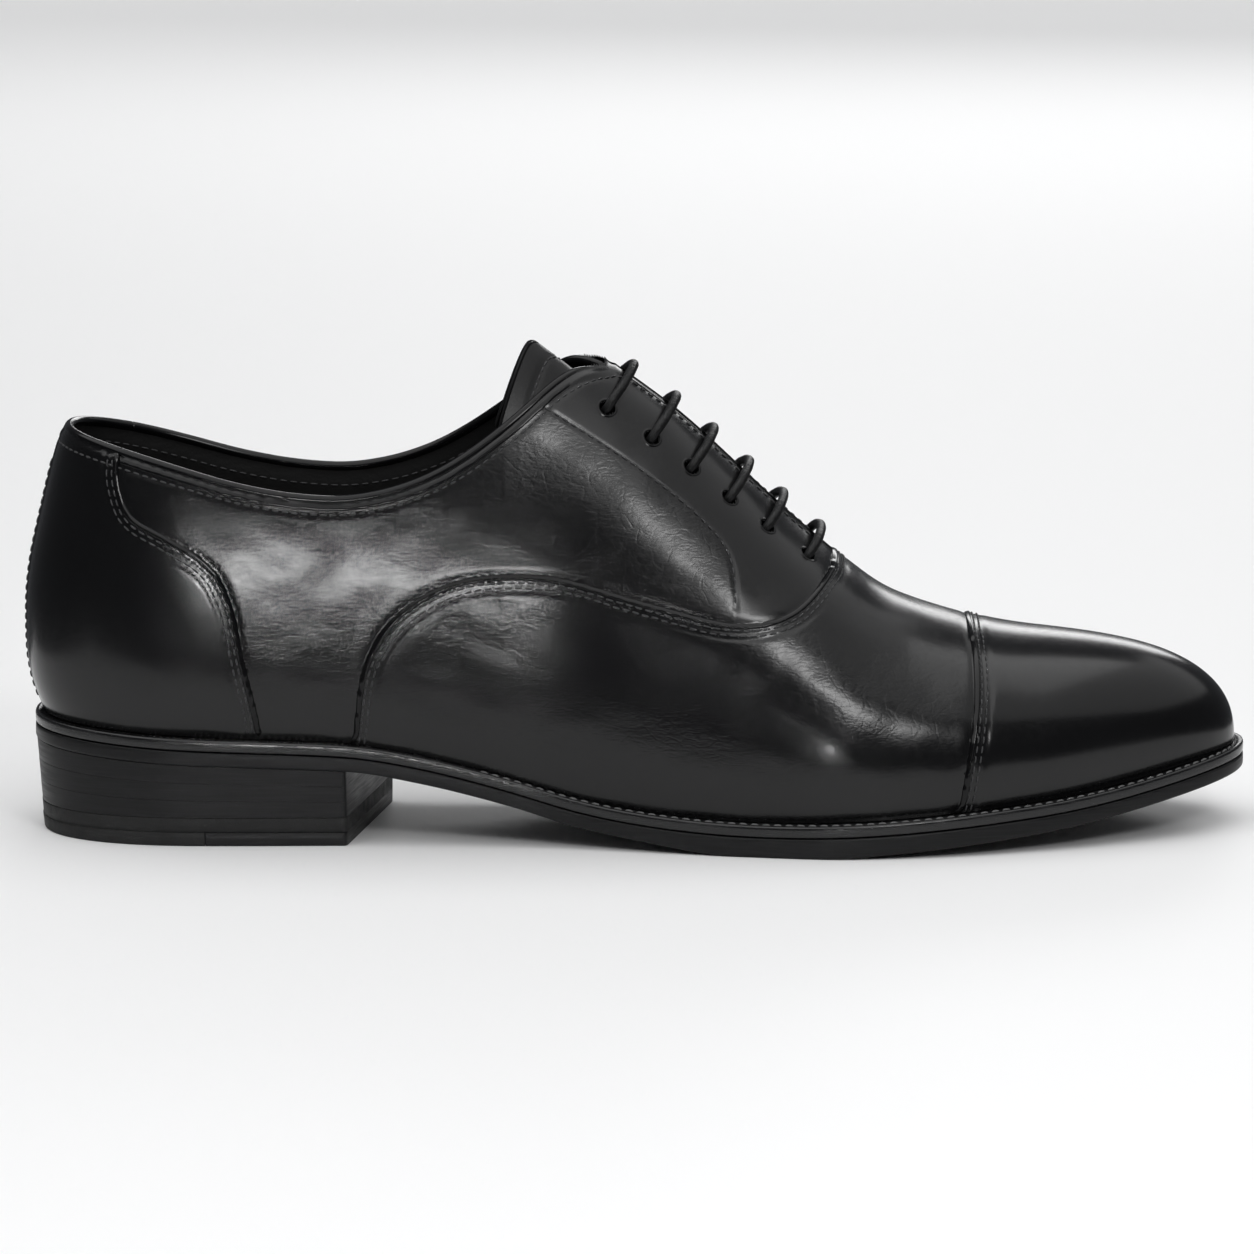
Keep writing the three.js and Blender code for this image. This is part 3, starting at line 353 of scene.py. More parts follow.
def frames(path, ups=None):
    """Tangent, up and side vectors along a path."""
    tangent = unit(np.gradient(path, axis=0))
    if ups is None:
        up = np.zeros_like(path)
        guess = np.array([0, 0, 1.0])
        if abs(tangent[0] @ guess) > 0.9:
            guess = np.array([0, 1.0, 0])
        for k, t in enumerate(tangent):
            guess = guess - (guess @ t) * t
            guess = guess / np.linalg.norm(guess)
            up[k] = guess
        ups = up
    ups = unit(ups - np.sum(ups * tangent, axis=1, keepdims=True) * tangent)
    return tangent, ups, np.cross(tangent, ups)


# The rings of the small dome that closes a swept piece's end: their sizes, and how far out they lie.
DOME_SIZE = np.array([0.98, 0.8, 0.45])
DOME_REACH = np.array([0.2, 0.6, 0.9])


def end_fans(rows, cols, flip=False):
    """Triangles from a tube's two end rings to the two centres that follow its vertices."""
    k = np.arange(cols)
    first, base = rows * cols, (rows - 1) * cols
    fans = np.vstack([np.stack([np.full(cols, first), k, (k + 1) % cols], 1),
                      np.stack([np.full(cols, first + 1), base + (k + 1) % cols, base + k], 1)])
    return fans[:, ::-1] if flip else fans


def sweep(path, section, ups=None, scale=None):
    """(vertices, faces) of a closed section carried along a path, closed by small domes."""
    tangent, up, side = frames(path, ups)
    scale = np.ones(len(path)) if scale is None else scale
    reach = (DOME_REACH * np.abs(section).max())[:, None]
    path = np.vstack([(path[0] - reach * tangent[0])[::-1], path, path[-1] + reach * tangent[-1]])
    kept = [0] * len(reach) + list(range(len(scale))) + [-1] * len(reach)
    up, side = up[kept], side[kept]
    scale = np.concatenate([DOME_SIZE[::-1] * scale[0], scale, DOME_SIZE * scale[-1]])
    rings = (path[:, None] + scale[:, None, None]
             * (section[None, :, :1] * side[:, None] + section[None, :, 1:2] * up[:, None]))
    verts = np.vstack([rings.reshape(-1, 3), rings[0].mean(0), rings[-1].mean(0)])
    return verts, [strip_faces(*rings.shape[:2], wrap=True), end_fans(*rings.shape[:2])]


def join(parts):
    """One (vertices, faces) from several."""
    verts, faces, start = [], [], 0
    for v, fs in parts:
        verts.append(v)
        faces.extend(f + start for f in fs)
        start += len(v)
    return np.vstack(verts), faces


def ring_section(radius, sides=16):
    a = np.arange(sides) / sides * 2 * math.pi
    return np.stack([np.cos(a) * radius, np.sin(a) * radius], 1)


# ---------------------------------------------------------------- seams, seen from the side
VAMP_SEAM = spline([
    (-71.5, 12), (-70.1, 27.2), (-67.3, 45.8), (-58.8, 58.6), (-43.2, 66.8), (-21.9, 67.7),
    (-0.6, 62.4), (23.2, 56.8), (37.4, 58.4), (47.3, 65.8), (50.1, 69.8), (51.5, 80)])
FOXING_SEAM = spline([
    (-127.8, 112), (-128.9, 99.3), (-129.2, 91), (-126, 82.6), (-118.3, 78), (-106.6, 70.7),
    (-101.1, 60.9), (-98.5, 48), (-95.1, 33.1), (-92, 15)])
CAP_SEAM = spline([(80, 66), (83.3, 53), (84.6, 45), (84.3, 36), (82.4, 22.2), (79, 2)])
STAY_LINE = spline([(-28, 112), (-12.3, 102.5), (1.9, 93.2), (16.1, 81.9), (23.5, 71.5), (24.4, 54)])
EYELETS = np.array([(42.9, 71.2), (32.5, 78.6), (23.1, 86), (13.6, 93.6), (3.7, 100.9), (-7.4, 108.3)])
THROAT_X = 50.3


INNER_LIFT, LIFT_START, LIFT_RUN = 0.2, -143.6, 40
COLLAR_FRONT = -8


def top_z(x, side):
    """Height of the collar's edge; the inner side's stands a little higher, but for the back."""
    lift = INNER_LIFT * round_end((x - LIFT_START) / LIFT_RUN, 2)
    return top_line(x) + np.where(side > 0, lift, 0)


def top_distance(x, z, side):
    """How far below the collar's edge a point lies."""
    slope = (top_z(x + 1, side) - top_z(x - 1, side)) / 2
    return (top_z(x, side) - z) / np.sqrt(1 + slope ** 2)


def collar_path(stations, side, below, depth):
    """Points at a distance below the collar's edge, from the surface's stations."""
    z = np.full(len(stations), 100.0)
    for _ in range(40):
        x = stations + shift_at(stations, z)
        slope = (top_z(x + 1, side) - top_z(x - 1, side)) / 2
        z = 0.5 * z + 0.5 * (top_z(x, side) - below * np.sqrt(1 + slope ** 2))
    _, bulge, top = upper_levels(stations)
    v = high_share(z, bulge, top)
    return upper_point(stations, side, v) - depth * normal_at(stations, side, v)


# ---------------------------------------------------------------- the skin
def skin_stations(heel, straight, toe):
    a = np.linspace(0, math.pi / 2, heel, endpoint=False)
    b = np.linspace(0, 1, straight, endpoint=False)
    c = np.linspace(0, math.pi / 2, toe)
    start, end = UPPER_HEEL + HEEL_WRAP, UPPER_TOE - TOE_WRAP
    return np.concatenate([UPPER_HEEL + HEEL_WRAP * (1 - np.cos(a)), start + (end - start) * b,
                           UPPER_TOE - TOE_WRAP * (1 - np.sin(c))])


def full_grid(xs, vs):
    """Positions and normals over both sides, lateral welt to ridge to medial welt."""
    lateral = upper_point(xs[:, None], -1, vs[None])
    medial = upper_point(xs[:, None], 1, vs[None])
    grid = np.concatenate([lateral, medial[:, -2::-1]], axis=1)
    along = np.gradient(grid, axis=0)
    around = np.gradient(grid, axis=1)
    normals = unit(np.cross(along, around))
    normals[0] = unit(normals[1] + normals[1, ::-1])
    normals[0, :, 1] = 0
    normals[0] = unit(normals[0])
    normals[-1] = np.array([1.0, 0, 0])
    return grid, normals


def inside_polygon(x, z, polygon):
    polygon = np.asarray(polygon, float)
    hit = np.zeros(x.shape, bool)
    for (x0, z0), (x1, z1) in zip(polygon, np.roll(polygon, -1, axis=0)):
        crosses = (z0 > z) != (z1 > z)
        if z0 != z1:
            hit ^= crosses & (x < (x1 - x0) * (z - z0) / (z1 - z0) + x0)
    return hit


def distance_to(points, path, reach=16.0):
    """Distance in space from each point to a path, capped at reach."""
    out = np.full(len(points), reach)
    low, high = path.min(0) - reach, path.max(0) + reach
    near = np.where(((points > low) & (points < high)).all(1))[0]
    a, b = path[:-1], path[1:]
    ab = b - a
    size = np.maximum((ab ** 2).sum(1), 1e-9)
    for chunk in np.array_split(near, max(1, len(near) // 4000)):
        p = points[chunk][:, None]
        t = np.clip(((p - a) * ab).sum(2) / size, 0, 1)
        gap = np.linalg.norm(p - a - t[..., None] * ab, axis=2).min(1)
        out[chunk] = np.minimum(gap, reach)
    return out


def seam_both_sides(line, low_end_first):
    """One path over the ridge from the lateral welt to the medial welt."""
    order = line if low_end_first else line[::-1]
    one = under(order[:, 0], order[:, 1], -1, np.zeros(len(order)))
    two = under(order[:, 0], order[:, 1], 1, np.zeros(len(order)))
    limit = [k for k in range(len(order)) if abs(one[k, 1] - middle(one[k, 0])) > 0.6]
    path = np.vstack([one[limit], two[limit][::-1]])
    return ease(resample(path, 1.0), 4)


def clipped(line, side):
    """A side's seam below the collar and above the welt."""
    keep = [p for p in line if top_distance(p[0], p[1], side) > 0.5 and p[1] > welt_top(p[0]) + 0.3]
    keep = np.array(keep)
    return resample(under(keep[:, 0], keep[:, 1], side, np.zeros(len(keep))), 1.0)


def above_welt(path):
    return path[path[:, 2] > welt_top(path[:, 0]) + 0.35]


VAMP_PATH = above_welt(seam_both_sides(VAMP_SEAM, True))
CAP_PATH = above_welt(seam_both_sides(CAP_SEAM, False))
FOXING_PATH = {side: clipped(FOXING_SEAM, side) for side in SIDES}
STAY_PATH = {side: clipped(STAY_LINE[1:-3], side) for side in SIDES}

STATIONS = skin_stations(100, 320, 120)
ROWS = np.concatenate([np.linspace(0, BULGE_AT, 36, endpoint=False), np.linspace(BULGE_AT, 1, 176)])
GRID, NORMALS = full_grid(STATIONS, ROWS)
HALF = len(ROWS) - 1
COLS = GRID.shape[1]
flat_points = GRID.reshape(-1, 3)
flat_normals = NORMALS.reshape(-1, 3)
column_side = np.where(np.arange(COLS) <= HALF, -1, 1)
point_side = np.tile(column_side, len(STATIONS))
px, py, pz = flat_points.T
below_top = top_distance(px, pz, point_side)

FAR_LOW, FAR_HIGH = -30, 220
vamp_shape = [(-72, FAR_LOW), *VAMP_SEAM, (52, FAR_HIGH), (80, FAR_HIGH), *CAP_SEAM, (79, FAR_LOW)]
cap_shape = [(80, FAR_HIGH), *CAP_SEAM, (79, FAR_LOW), (200, FAR_LOW), (200, FAR_HIGH)]
foxing_shape = [(-220, FAR_LOW), (-220, FAR_HIGH), (-127, FAR_HIGH), *FOXING_SEAM, (-92, FAR_LOW)]

d_vamp = distance_to(flat_points, VAMP_PATH)
d_cap = distance_to(flat_points, CAP_PATH)
d_foxing = np.minimum(distance_to(flat_points, FOXING_PATH[-1]), distance_to(flat_points, FOXING_PATH[1]))
d_stay = np.minimum(distance_to(flat_points, STAY_PATH[-1]), distance_to(flat_points, STAY_PATH[1]))
in_vamp = inside_polygon(px, pz, vamp_shape)
in_cap = inside_polygon(px, pz, cap_shape)
in_foxing = inside_polygon(px, pz, foxing_shape)

ROW_ONE, ROW_TWO = 1.75, 3.3  # stitch rows, from a seam's folded edge


def lap(distance, over):
    """Relief of a seam: the upper panel rides on the lower one, and stitch rows draw it in."""
    raised = 0.3 * (1 - step01(3.0, 18.0, distance))
    drawn = 0.2 * (bump_at(distance, ROW_ONE, 0.5) + bump_at(distance, ROW_TWO, 0.5))
    tucked = 0.25 * bump_at(distance, 0, 1.4)
    return np.where(over, raised - drawn, -tucked)


relief = lap(d_vamp, in_vamp) * (in_vamp | ~in_cap)
relief += lap(d_cap, in_cap)
relief += lap(d_foxing, in_foxing)
relief -= 0.16 * bump_at(d_stay, 0, 0.5) * ~(in_vamp | in_foxing)
relief -= 0.18 * bump_at(below_top, 3.2, 0.6) * (px < -6)
relief -= 0.5 * bump_at(np.minimum(below_top, 3), 0.6, 0.9) * (px < -6)


def waves(p, size, seed, octaves=3):
    """A smooth repeatable unevenness of about the given size, between -1 and 1."""
    rng = np.random.default_rng(seed)
    total = np.zeros(len(p))
    for k in range(octaves):
        for _ in range(5):
            way = unit(rng.normal(size=3)) * (2 * math.pi / (size / 1.7 ** k))
            total += np.sin(p @ way + rng.uniform(0, 6.28)) / 1.6 ** k
    return total / 7


flex = step01(20, 40, px) * (1 - step01(62, 84, px)) * step01(25, 45, pz)
soft_body = waves(flat_points, 26, 11) * 0.16 * (1 - step01(70, 95, px)) * step01(-140, -110, px)
creases = waves(flat_points * np.array([1.0, 0.35, 0.35]), 9, 5) * 0.05 * flex
relief += (soft_body + creases) * step01(2, 8, np.minimum.reduce([d_vamp, d_cap, d_foxing]))
SKIN = flat_points + relief[:, None] * flat_normals

cells = strip_faces(len(STATIONS), COLS)
centre = SKIN[cells].mean(1)
cx, cy, cz = flat_points[cells].mean(1).T
cell_side = np.where((cells % COLS).mean(1) < HALF, -1, 1)
cell_vamp = inside_polygon(cx, cz, vamp_shape)
cell_cap = inside_polygon(cx, cz, cap_shape)
cell_foxing = inside_polygon(cx, cz, foxing_shape)
cell_top = top_distance(cx, cz, cell_side)
open_throat = (cx < THROAT_X) & (np.abs(cy - middle(cx)) < FACING_HALF + 0.2)
covered = ((cx > COLLAR_FRONT) | (cell_top > 0.2)) & ~open_throat
tip = (cells // COLS).max(1) == len(STATIONS) - 1

eyelet_places = {side: under(EYELETS[:, 0], EYELETS[:, 1], side, np.zeros(6)) for side in SIDES}
HOLE = 2.15
punched = np.zeros(len(cells), bool)
for side in SIDES:
    for place in eyelet_places[side]:
        punched |= np.linalg.norm(centre - place, axis=1) < HOLE

tree_cells = cells[~tip]
SKIN_TREE = BVHTree.FromPolygons([Vector(p) for p in SKIN], [tuple(int(k) for k in f) for f in tree_cells])


def on_skin(points, lift=0.0):
    """The nearest points of the finished skin, and its normals there."""
    places, ups = [], []
    for p in points:
        place, normal, _, _ = SKIN_TREE.find_nearest(Vector(p))
        places.append(place)
        ups.append(normal)
    places, ups = np.array(places), np.array(ups)
    inward = (roughly_outward(places) * ups).sum(1) < 0
    ups[inward] *= -1
    return places + lift * ups, ups


def roughly_outward(places):
    """A direction away from the middle of the shoe at each place."""
    core = np.stack([np.clip(places[:, 0], -108, 95), middle(places[:, 0]),
                     np.clip(places[:, 2] - 25, welt_top(places[:, 0]) + 8, None)], axis=1)
    return unit(places - core)


# ---------------------------------------------------------------- materials
class Nodes:
    """A short way to write a node material."""

    def __init__(self, name):
        self.material = bpy.data.materials.new(name)
        self.material.use_nodes = True
        self.tree = self.material.node_tree
        self.tree.nodes.clear()
        self.out = self.add("ShaderNodeOutputMaterial")
        self.shader = self.add("ShaderNodeBsdfPrincipled")
        self.link(self.shader.outputs[0], self.out.inputs["Surface"])
        self.place = self.add("ShaderNodeTexCoord").outputs["Object"]

    def add(self, kind, **settings):
        node = self.tree.nodes.new(kind)
        for key, value in settings.items():
            socket = key.replace("_", " ")
            if socket in node.inputs:
                node.inputs[socket].default_value = value
            else:
                setattr(node, key, value)
        return node

    def link(self, a, b):
        self.tree.links.new(a, b)

    def set(self, **values):
        for key, value in values.items():
            self.shader.inputs[key.replace("_", " ")].default_value = value

    def scaled(self, x, y, z, turn=(0, 0, 0)):
        node = self.add("ShaderNodeMapping", Scale=(x, y, z), Rotation=turn)
        self.link(self.place, node.inputs["Vector"])
        return node.outputs[0]

    def noise(self, scale, detail=3, rough=0.5, distortion=0.0, vector=None):
        node = self.add("ShaderNodeTexNoise", Scale=scale, Detail=detail, Roughness=rough,
                        Distortion=distortion)
        self.link(vector or self.place, node.inputs["Vector"])
        return node.outputs[0]

    def wave(self, scale, distortion, detail, detail_scale, vector):
        node = self.add("ShaderNodeTexWave", Scale=scale, Distortion=distortion, Detail=detail,
                        Detail_Scale=detail_scale)
        self.link(vector, node.inputs["Vector"])
        return node.outputs["Fac"]

    def cracks(self, scale, vector=None):
        node = self.add("ShaderNodeTexVoronoi", feature="DISTANCE_TO_EDGE", Scale=scale)
        self.link(vector or self.place, node.inputs["Vector"])
        return node.outputs["Distance"]

    def attribute(self, name):
        return self.add("ShaderNodeAttribute", attribute_name=name).outputs["Fac"]

    def math(self, operation, a, b=None, c=None):
        node = self.add("ShaderNodeMath", operation=operation)
        for k, value in enumerate((a, b, c)):
            if value is None:
                continue
            if isinstance(value, (int, float)):
                node.inputs[k].default_value = value
            else:
                self.link(value, node.inputs[k])
        return node.outputs[0]

    def ramp(self, value, low, high, to_low=0.0, to_high=1.0):
        node = self.add("ShaderNodeMapRange", interpolation_type="SMOOTHSTEP")
        for key, number in (("From Min", low), ("From Max", high), ("To Min", to_low), ("To Max", to_high)):
            node.inputs[key].default_value = number
        self.link(value, node.inputs["Value"])
        return node.outputs[0]

    def blend(self, factor, one, two):
        node = self.add("ShaderNodeMix", data_type="RGBA")
        self.link(factor, node.inputs["Factor"])
        node.inputs[6].default_value = (*one, 1)
        node.inputs[7].default_value = (*two, 1)
        return node.outputs[2]

    def bump(self, height, strength, distance):
        node = self.add("ShaderNodeBump", Strength=strength, Distance=distance)
        self.link(height, node.inputs["Height"])
        self.link(node.outputs[0], self.shader.inputs["Normal"])

    def colour(self, factor, tint, gain):
        """The base colour, between the tint and the tint times the gain."""
        self.link(self.blend(factor, tint, tuple(c * gain for c in tint)), self.shader.inputs["Base Color"])

    def roughness(self, value, low, high, smooth, rough):
        self.link(self.ramp(value, low, high, smooth, rough), self.shader.inputs["Roughness"])


def leather(name, grain=1.0, rough=0.22, tint=(0.0022, 0.0022, 0.0024), swell=1.0):
    """Polished calf: slow unevenness, faint wavy boarding, a few fine creases and tight pores."""
    n = Nodes(name)
    warp = n.add("ShaderNodeVectorMath", operation="MULTIPLY_ADD")
    soft = n.add("ShaderNodeTexNoise", Scale=95, Detail=3)
    n.link(n.place, soft.inputs["Vector"])
    n.link(soft.outputs["Color"], warp.inputs[0])
    warp.inputs[1].default_value = (0.012, 0.012, 0.012)
    n.link(n.place, warp.inputs[2])
    slow = n.noise(26, 1)
    middling = n.noise(110, 2)
    ripple = n.noise(620, 3, 0.45, 1.2, vector=n.scaled(0.55, 1, 1.5, (0, 0.5, 0)))
    web = n.ramp(n.cracks(210, warp.outputs[0]), 0.0, 0.10)
    pores = n.noise(2600, 2, 0.6)
    strength = n.math("MULTIPLY", n.ramp(n.noise(60, 2), 0.3, 0.7, 0.45, 1.0), n.attribute("grain"))
    height = n.math("ADD", n.math("MULTIPLY", slow, 1.8 * swell), n.math("MULTIPLY", middling, 0.6 * swell))
    boarded = n.math("MULTIPLY", n.math("MULTIPLY", ripple, strength), 2.4 * grain)
    creased = n.math("MULTIPLY", n.math("MULTIPLY", web, strength), 0.4 * grain)
    height = n.math("ADD", height, n.math("ADD", boarded, creased))
    height = n.math("ADD", height, n.math("MULTIPLY", pores, 0.16))
    n.bump(height, 1.0, 0.000028)
    n.colour(n.noise(55, 3), tint, 1.4)
    n.roughness(n.noise(700, 3), 0.3, 0.75, rough - 0.02, rough + 0.03)
    n.set(Specular_IOR_Level=0.38, Coat_Weight=0.1, Coat_Roughness=0.12, Coat_IOR=1.45)
    return n.material


def plain_skin(name, tint, rough, scale=900, depth=0.00006, spread=0.1, coat=0.0):
    """A smoother coated or matt surface with pores and slight unevenness."""
    n = Nodes(name)
    fine = n.noise(scale, 3, 0.6)
    wide = n.noise(60, 2)
    height = n.math("ADD", fine, n.math("MULTIPLY", wide, 1.5))
    n.bump(height, 1.0, depth)
    n.colour(n.noise(90, 4), tint, 1.7)
    n.roughness(n.noise(310, 3), 0.3, 0.7, rough - spread / 2, rough + spread / 2)
    n.set(Specular_IOR_Level=0.2, Coat_Weight=coat, Coat_Roughness=0.2)
    return n.material


def edge_material(name, tint, rough, shine=0.2):
    """Dressed leather edge: fine brushing along its length and faint layers."""
    n = Nodes(name)
    brushed = n.noise(700, 4, 0.6, vector=n.scaled(0.12, 0.12, 3.0))
    layers = n.noise(500, 2, 0.5, vector=n.scaled(0.02, 0.02, 2.0))
    height = n.math("ADD", brushed, n.math("MULTIPLY", layers, 0.5))
    n.bump(height, 1.0, 0.00002)
    n.colour(n.ramp(brushed, 0.35, 0.7), tint, 2.0)
    n.roughness(brushed, 0.3, 0.7, rough - 0.08, rough + 0.1)
    n.set(Specular_IOR_Level=shine)
    return n.material


def thread_material(name, tint, rough):
    n = Nodes(name)
    twist = n.wave(900, 1.5, 2, 1.0, n.scaled(1, 1, 1, (0, 0.7, 0.5)))
    n.bump(twist, 0.7, 0.00006)
    n.colour(n.noise(800, 2), tint, 1.8)
    n.roughness(twist, 0, 1, rough, rough + 0.15)
    n.set(Specular_IOR_Level=0.28)
    return n.material


def metal_material(name, tint, rough):
    n = Nodes(name)
    scratch = n.noise(1500, 3, 0.6, vector=n.scaled(1, 1, 0.15))
    n.bump(scratch, 0.4, 0.00003)
    n.colour(n.noise(300, 3), tint, 0.7)
    n.roughness(scratch, 0.3, 0.7, rough, rough + 0.2)
    n.set(Metallic=1.0)
    return n.material


QUARTER = leather("leather_quarter", 1.0, 0.24)
VAMP = leather("leather_vamp", 0.9, 0.23)
CAP = leather("leather_cap", 0.45, 0.21, swell=0.6)
FOXING = leather("leather_foxing", 0.4, 0.22, swell=0.7)
BEAD = plain_skin("leather_binding", (0.002, 0.002, 0.0022), 0.16, 1200, 0.00001, 0.04, 0.1)
TONGUE_SKIN = plain_skin("leather_tongue", (0.0045, 0.0045, 0.0047), 0.36, 1500, 0.00004, 0.1, 0.1)
LINING = plain_skin("leather_lining", (0.005, 0.005, 0.005), 0.62, 1400, 0.0001, 0.12)
SOCK = plain_skin("leather_sock", (0.014, 0.0135, 0.013), 0.55, 1100, 0.0001, 0.15)
WELT_EDGE = edge_material("edge_welt", (0.004, 0.004, 0.0043), 0.24, 0.5)
SOLE_EDGE = edge_material("edge_sole", (0.006, 0.006, 0.0063), 0.42)
HEEL_EDGE = edge_material("edge_heel", (0.007, 0.007, 0.0073), 0.42)
RUBBER = plain_skin("rubber_top_piece", (0.012, 0.012, 0.012), 0.6, 2200, 0.00012, 0.15)
THREAD = thread_material("thread_black", (0.03, 0.03, 0.031), 0.42)
WELT_THREAD = thread_material("thread_welt", (0.09, 0.09, 0.09), 0.5)
CORD = thread_material("cord_waxed", (0.0022, 0.0022, 0.0024), 0.34)
BOARD = plain_skin("board_fibre", (0.30, 0.20, 0.11), 0.85, 1600, 0.0002, 0.1)
CORK = plain_skin("cork_grain", (0.33, 0.20, 0.10), 0.9, 500, 0.0004, 0.1)
STEEL = metal_material("steel_plain", (0.5, 0.51, 0.53), 0.3)
BRASS = metal_material("brass_nail", (0.62, 0.43, 0.18), 0.3)
DARK_METAL = metal_material("metal_blackened", (0.08, 0.08, 0.09), 0.4)
PLASTIC = plain_skin("plastic_aglet", (0.012, 0.012, 0.012), 0.2, 900, 0.00002, 0.05, 0.3)

# ---------------------------------------------------------------- upper panels
ahead_of_stay = inside_polygon(px, pz, [*STAY_LINE, (24.4, 0), (300, 0), (300, 220), (-28, 220)])
GRAIN = np.where(~in_vamp & ~in_cap & ~in_foxing & ahead_of_stay, 0.22, 1.0)
ridge_share = np.abs(py - middle(px)) / np.maximum(sole_width[-1](px), 1)
GRAIN = np.where(in_vamp, 0.2 + 0.8 * step01(0.25, 0.6, ridge_share), GRAIN)
GRAIN = np.where(in_cap, 0.25 + 0.45 * step01(0.3, 0.6, ridge_share), GRAIN)
GRAIN = np.where(in_foxing, 0.45, GRAIN)
GRAIN *= 0.35 + 0.65 * step01(6, 26, pz - welt_top(px))


def panel(name, chosen, material, nodes):
    made, used = new_mesh(name, SKIN, [cells[chosen & ~tip], cells[chosen & tip][:, :3]])
    paint(made, "grain", GRAIN[used])
    return dress(made, material, nodes=nodes)


panel("toe_cap_leather", cell_cap, CAP, ["toe_cap"])
panel("vamp_leather", cell_vamp & ~cell_cap, VAMP, ["vamp"])
panel("heel_foxing_leather", cell_foxing & covered, FOXING, ["heel_foxing"])
rest_of_upper = ~(cell_cap | cell_vamp | cell_foxing) & covered & ~punched & (cx < 80)
for side in SIDES:
    panel(f"quarter_{WORD[side]}_leather", rest_of_upper & (cell_side == side), QUARTER,
          [f"quarter_{WORD[side]}"])


def back_strip(reach=3.4, height=0.5, sunk=0.15, arc=7):
    """The narrow strip over the back seam, from the welt to the collar: points and normals by row."""
    skin = SKIN.reshape(len(STATIONS), COLS, 3)
    rows = [r for r in range(HALF) if below_top.reshape(len(STATIONS), COLS)[0, r] > 0.3]
    middle_row = skin[:, rows[len(rows) // 2]]
    run = np.cumsum(np.linalg.norm(np.diff(middle_row, axis=0), axis=1))
    last = int(np.searchsorted(run, reach)) + 1
    share = np.linspace(0, 1, arc + 2)[1:-1, None]
    points, ups = [], []
    for r in rows:
        (one, two), (n_one, n_two) = ((grid[0, r], grid[0, COLS - 1 - r]) for grid in (skin, NORMALS))
        turn = math.acos(max(-1.0, min(1.0, float(n_one @ n_two))))
        bulge = np.linalg.norm(two - one) / 2 * math.tan(turn / 4)
        chord = (1 - share) * one + share * two
        arch = chord + 4 * share * (1 - share) * bulge * unit(n_one + n_two)
        points.append(np.vstack([skin[last::-1, r], arch, skin[:last + 1, COLS - 1 - r]]))
        ups.append(np.vstack([NORMALS[last::-1, r], unit((1 - share) * n_one + share * n_two),
                              NORMALS[:last + 1, COLS - 1 - r]]))
    points, ups = np.array(points), np.array(ups)
    across = np.linspace(-1, 1, points.shape[1])[None, :, None]
    return points + (height * (1 - across ** 8) - sunk) * ups, ups


strip_points, strip_ups = back_strip()
made, _ = new_mesh("heel_back_strip", strip_points.reshape(-1, 3), [strip_faces(*strip_points.shape[:2])])
paint(made, "grain", np.full(strip_points.shape[0] * strip_points.shape[1], 0.3))
dress(made, FOXING)


# ---------------------------------------------------------------- seams: folded edges and stitches
def fold_section(width, height):
    """A folded edge's section: a rounded roll with a shallow groove along its crown."""
    a = np.linspace(0, 2 * math.pi, 15)[:-1]
    x, y = np.cos(a), np.sin(a)
    crown = np.where(y > 0, 1 - 0.14 * bump_at(x, 0.1, 0.22), 1)
    return np.stack([x * width / 2, y * crown * height / 2], 1)


BEAD_WIDTH, BEAD_HEIGHT, BEAD_SUNK = 1.7, 1.15, 0.12


def seam_bead(name, path):
    path, ups = on_skin(ease(resample(path, 0.7), 2), -BEAD_SUNK)
    bead = sweep(ease(path, 2), fold_section(BEAD_WIDTH, BEAD_HEIGHT), ups)
    piece(name, bead, BEAD)


def stitch_shape(length, radius):
    """One stitch lying along X: it rises from one hole and dips into the next."""
    t = np.linspace(-1, 1, 7)
    fat = np.sqrt(np.maximum(1 - np.abs(t) ** 3, 0.02)) * radius
    rise = 0.5 * radius * (1 - t ** 4) - 0.45 * radius * t ** 4
    ring = ring_section(1, 6)
    verts = np.array([(s * length / 2, f * c, r + f * d) for s, f, r in zip(t, fat, rise) for c, d in ring])
    quads = strip_faces(7, 6, wrap=True)
    caps = np.array([[0, 1, 2, 3], [0, 3, 4, 5], [41, 40, 39, 38], [41, 38, 37, 36]])
    return verts, np.vstack([quads, caps[:, ::-1]])


def stitches(name, rows, material=THREAD, body="shoe", pitch=2.5, length=2.0,
             radius=0.24):
    """Separate stitches along rows of (points, normals)."""
    shape, quads = stitch_shape(length, radius)
    parts = []
    for points, ups in rows:
        count = max(2, int(round(np.linalg.norm(np.diff(points, axis=0), axis=1).sum() / pitch)))
        both = resample(np.hstack([points, ups]), count=count * 2 + 1)[1::2]
        both_t = unit(np.gradient(both[:, :3], axis=0))
        up = unit(both[:, 3:] - (both[:, 3:] * both_t).sum(1, keepdims=True) * both_t)
        across = np.cross(up, both_t)
        for p, t, u, b in zip(both[:, :3], both_t, up, across):
            parts.append((p + shape[:, :1] * t + shape[:, 1:2] * b + shape[:, 2:] * u, [quads]))
    return piece(name, join(parts), material, body)


def row_beside(path, distance, trim=0):
    """A stitch row on the skin at a distance to the left of a seam, seen from outside."""
    base, ups = on_skin(ease(resample(path, 1.0), 2))
    t = unit(np.gradient(base, axis=0))
    side = np.cross(ups, t)
    moved, up = on_skin(base + side * distance)
    moved, up = ease(moved, 3), unit(ease(up, 3))
    return (moved[trim:len(moved) - trim], up[trim:len(up) - trim])


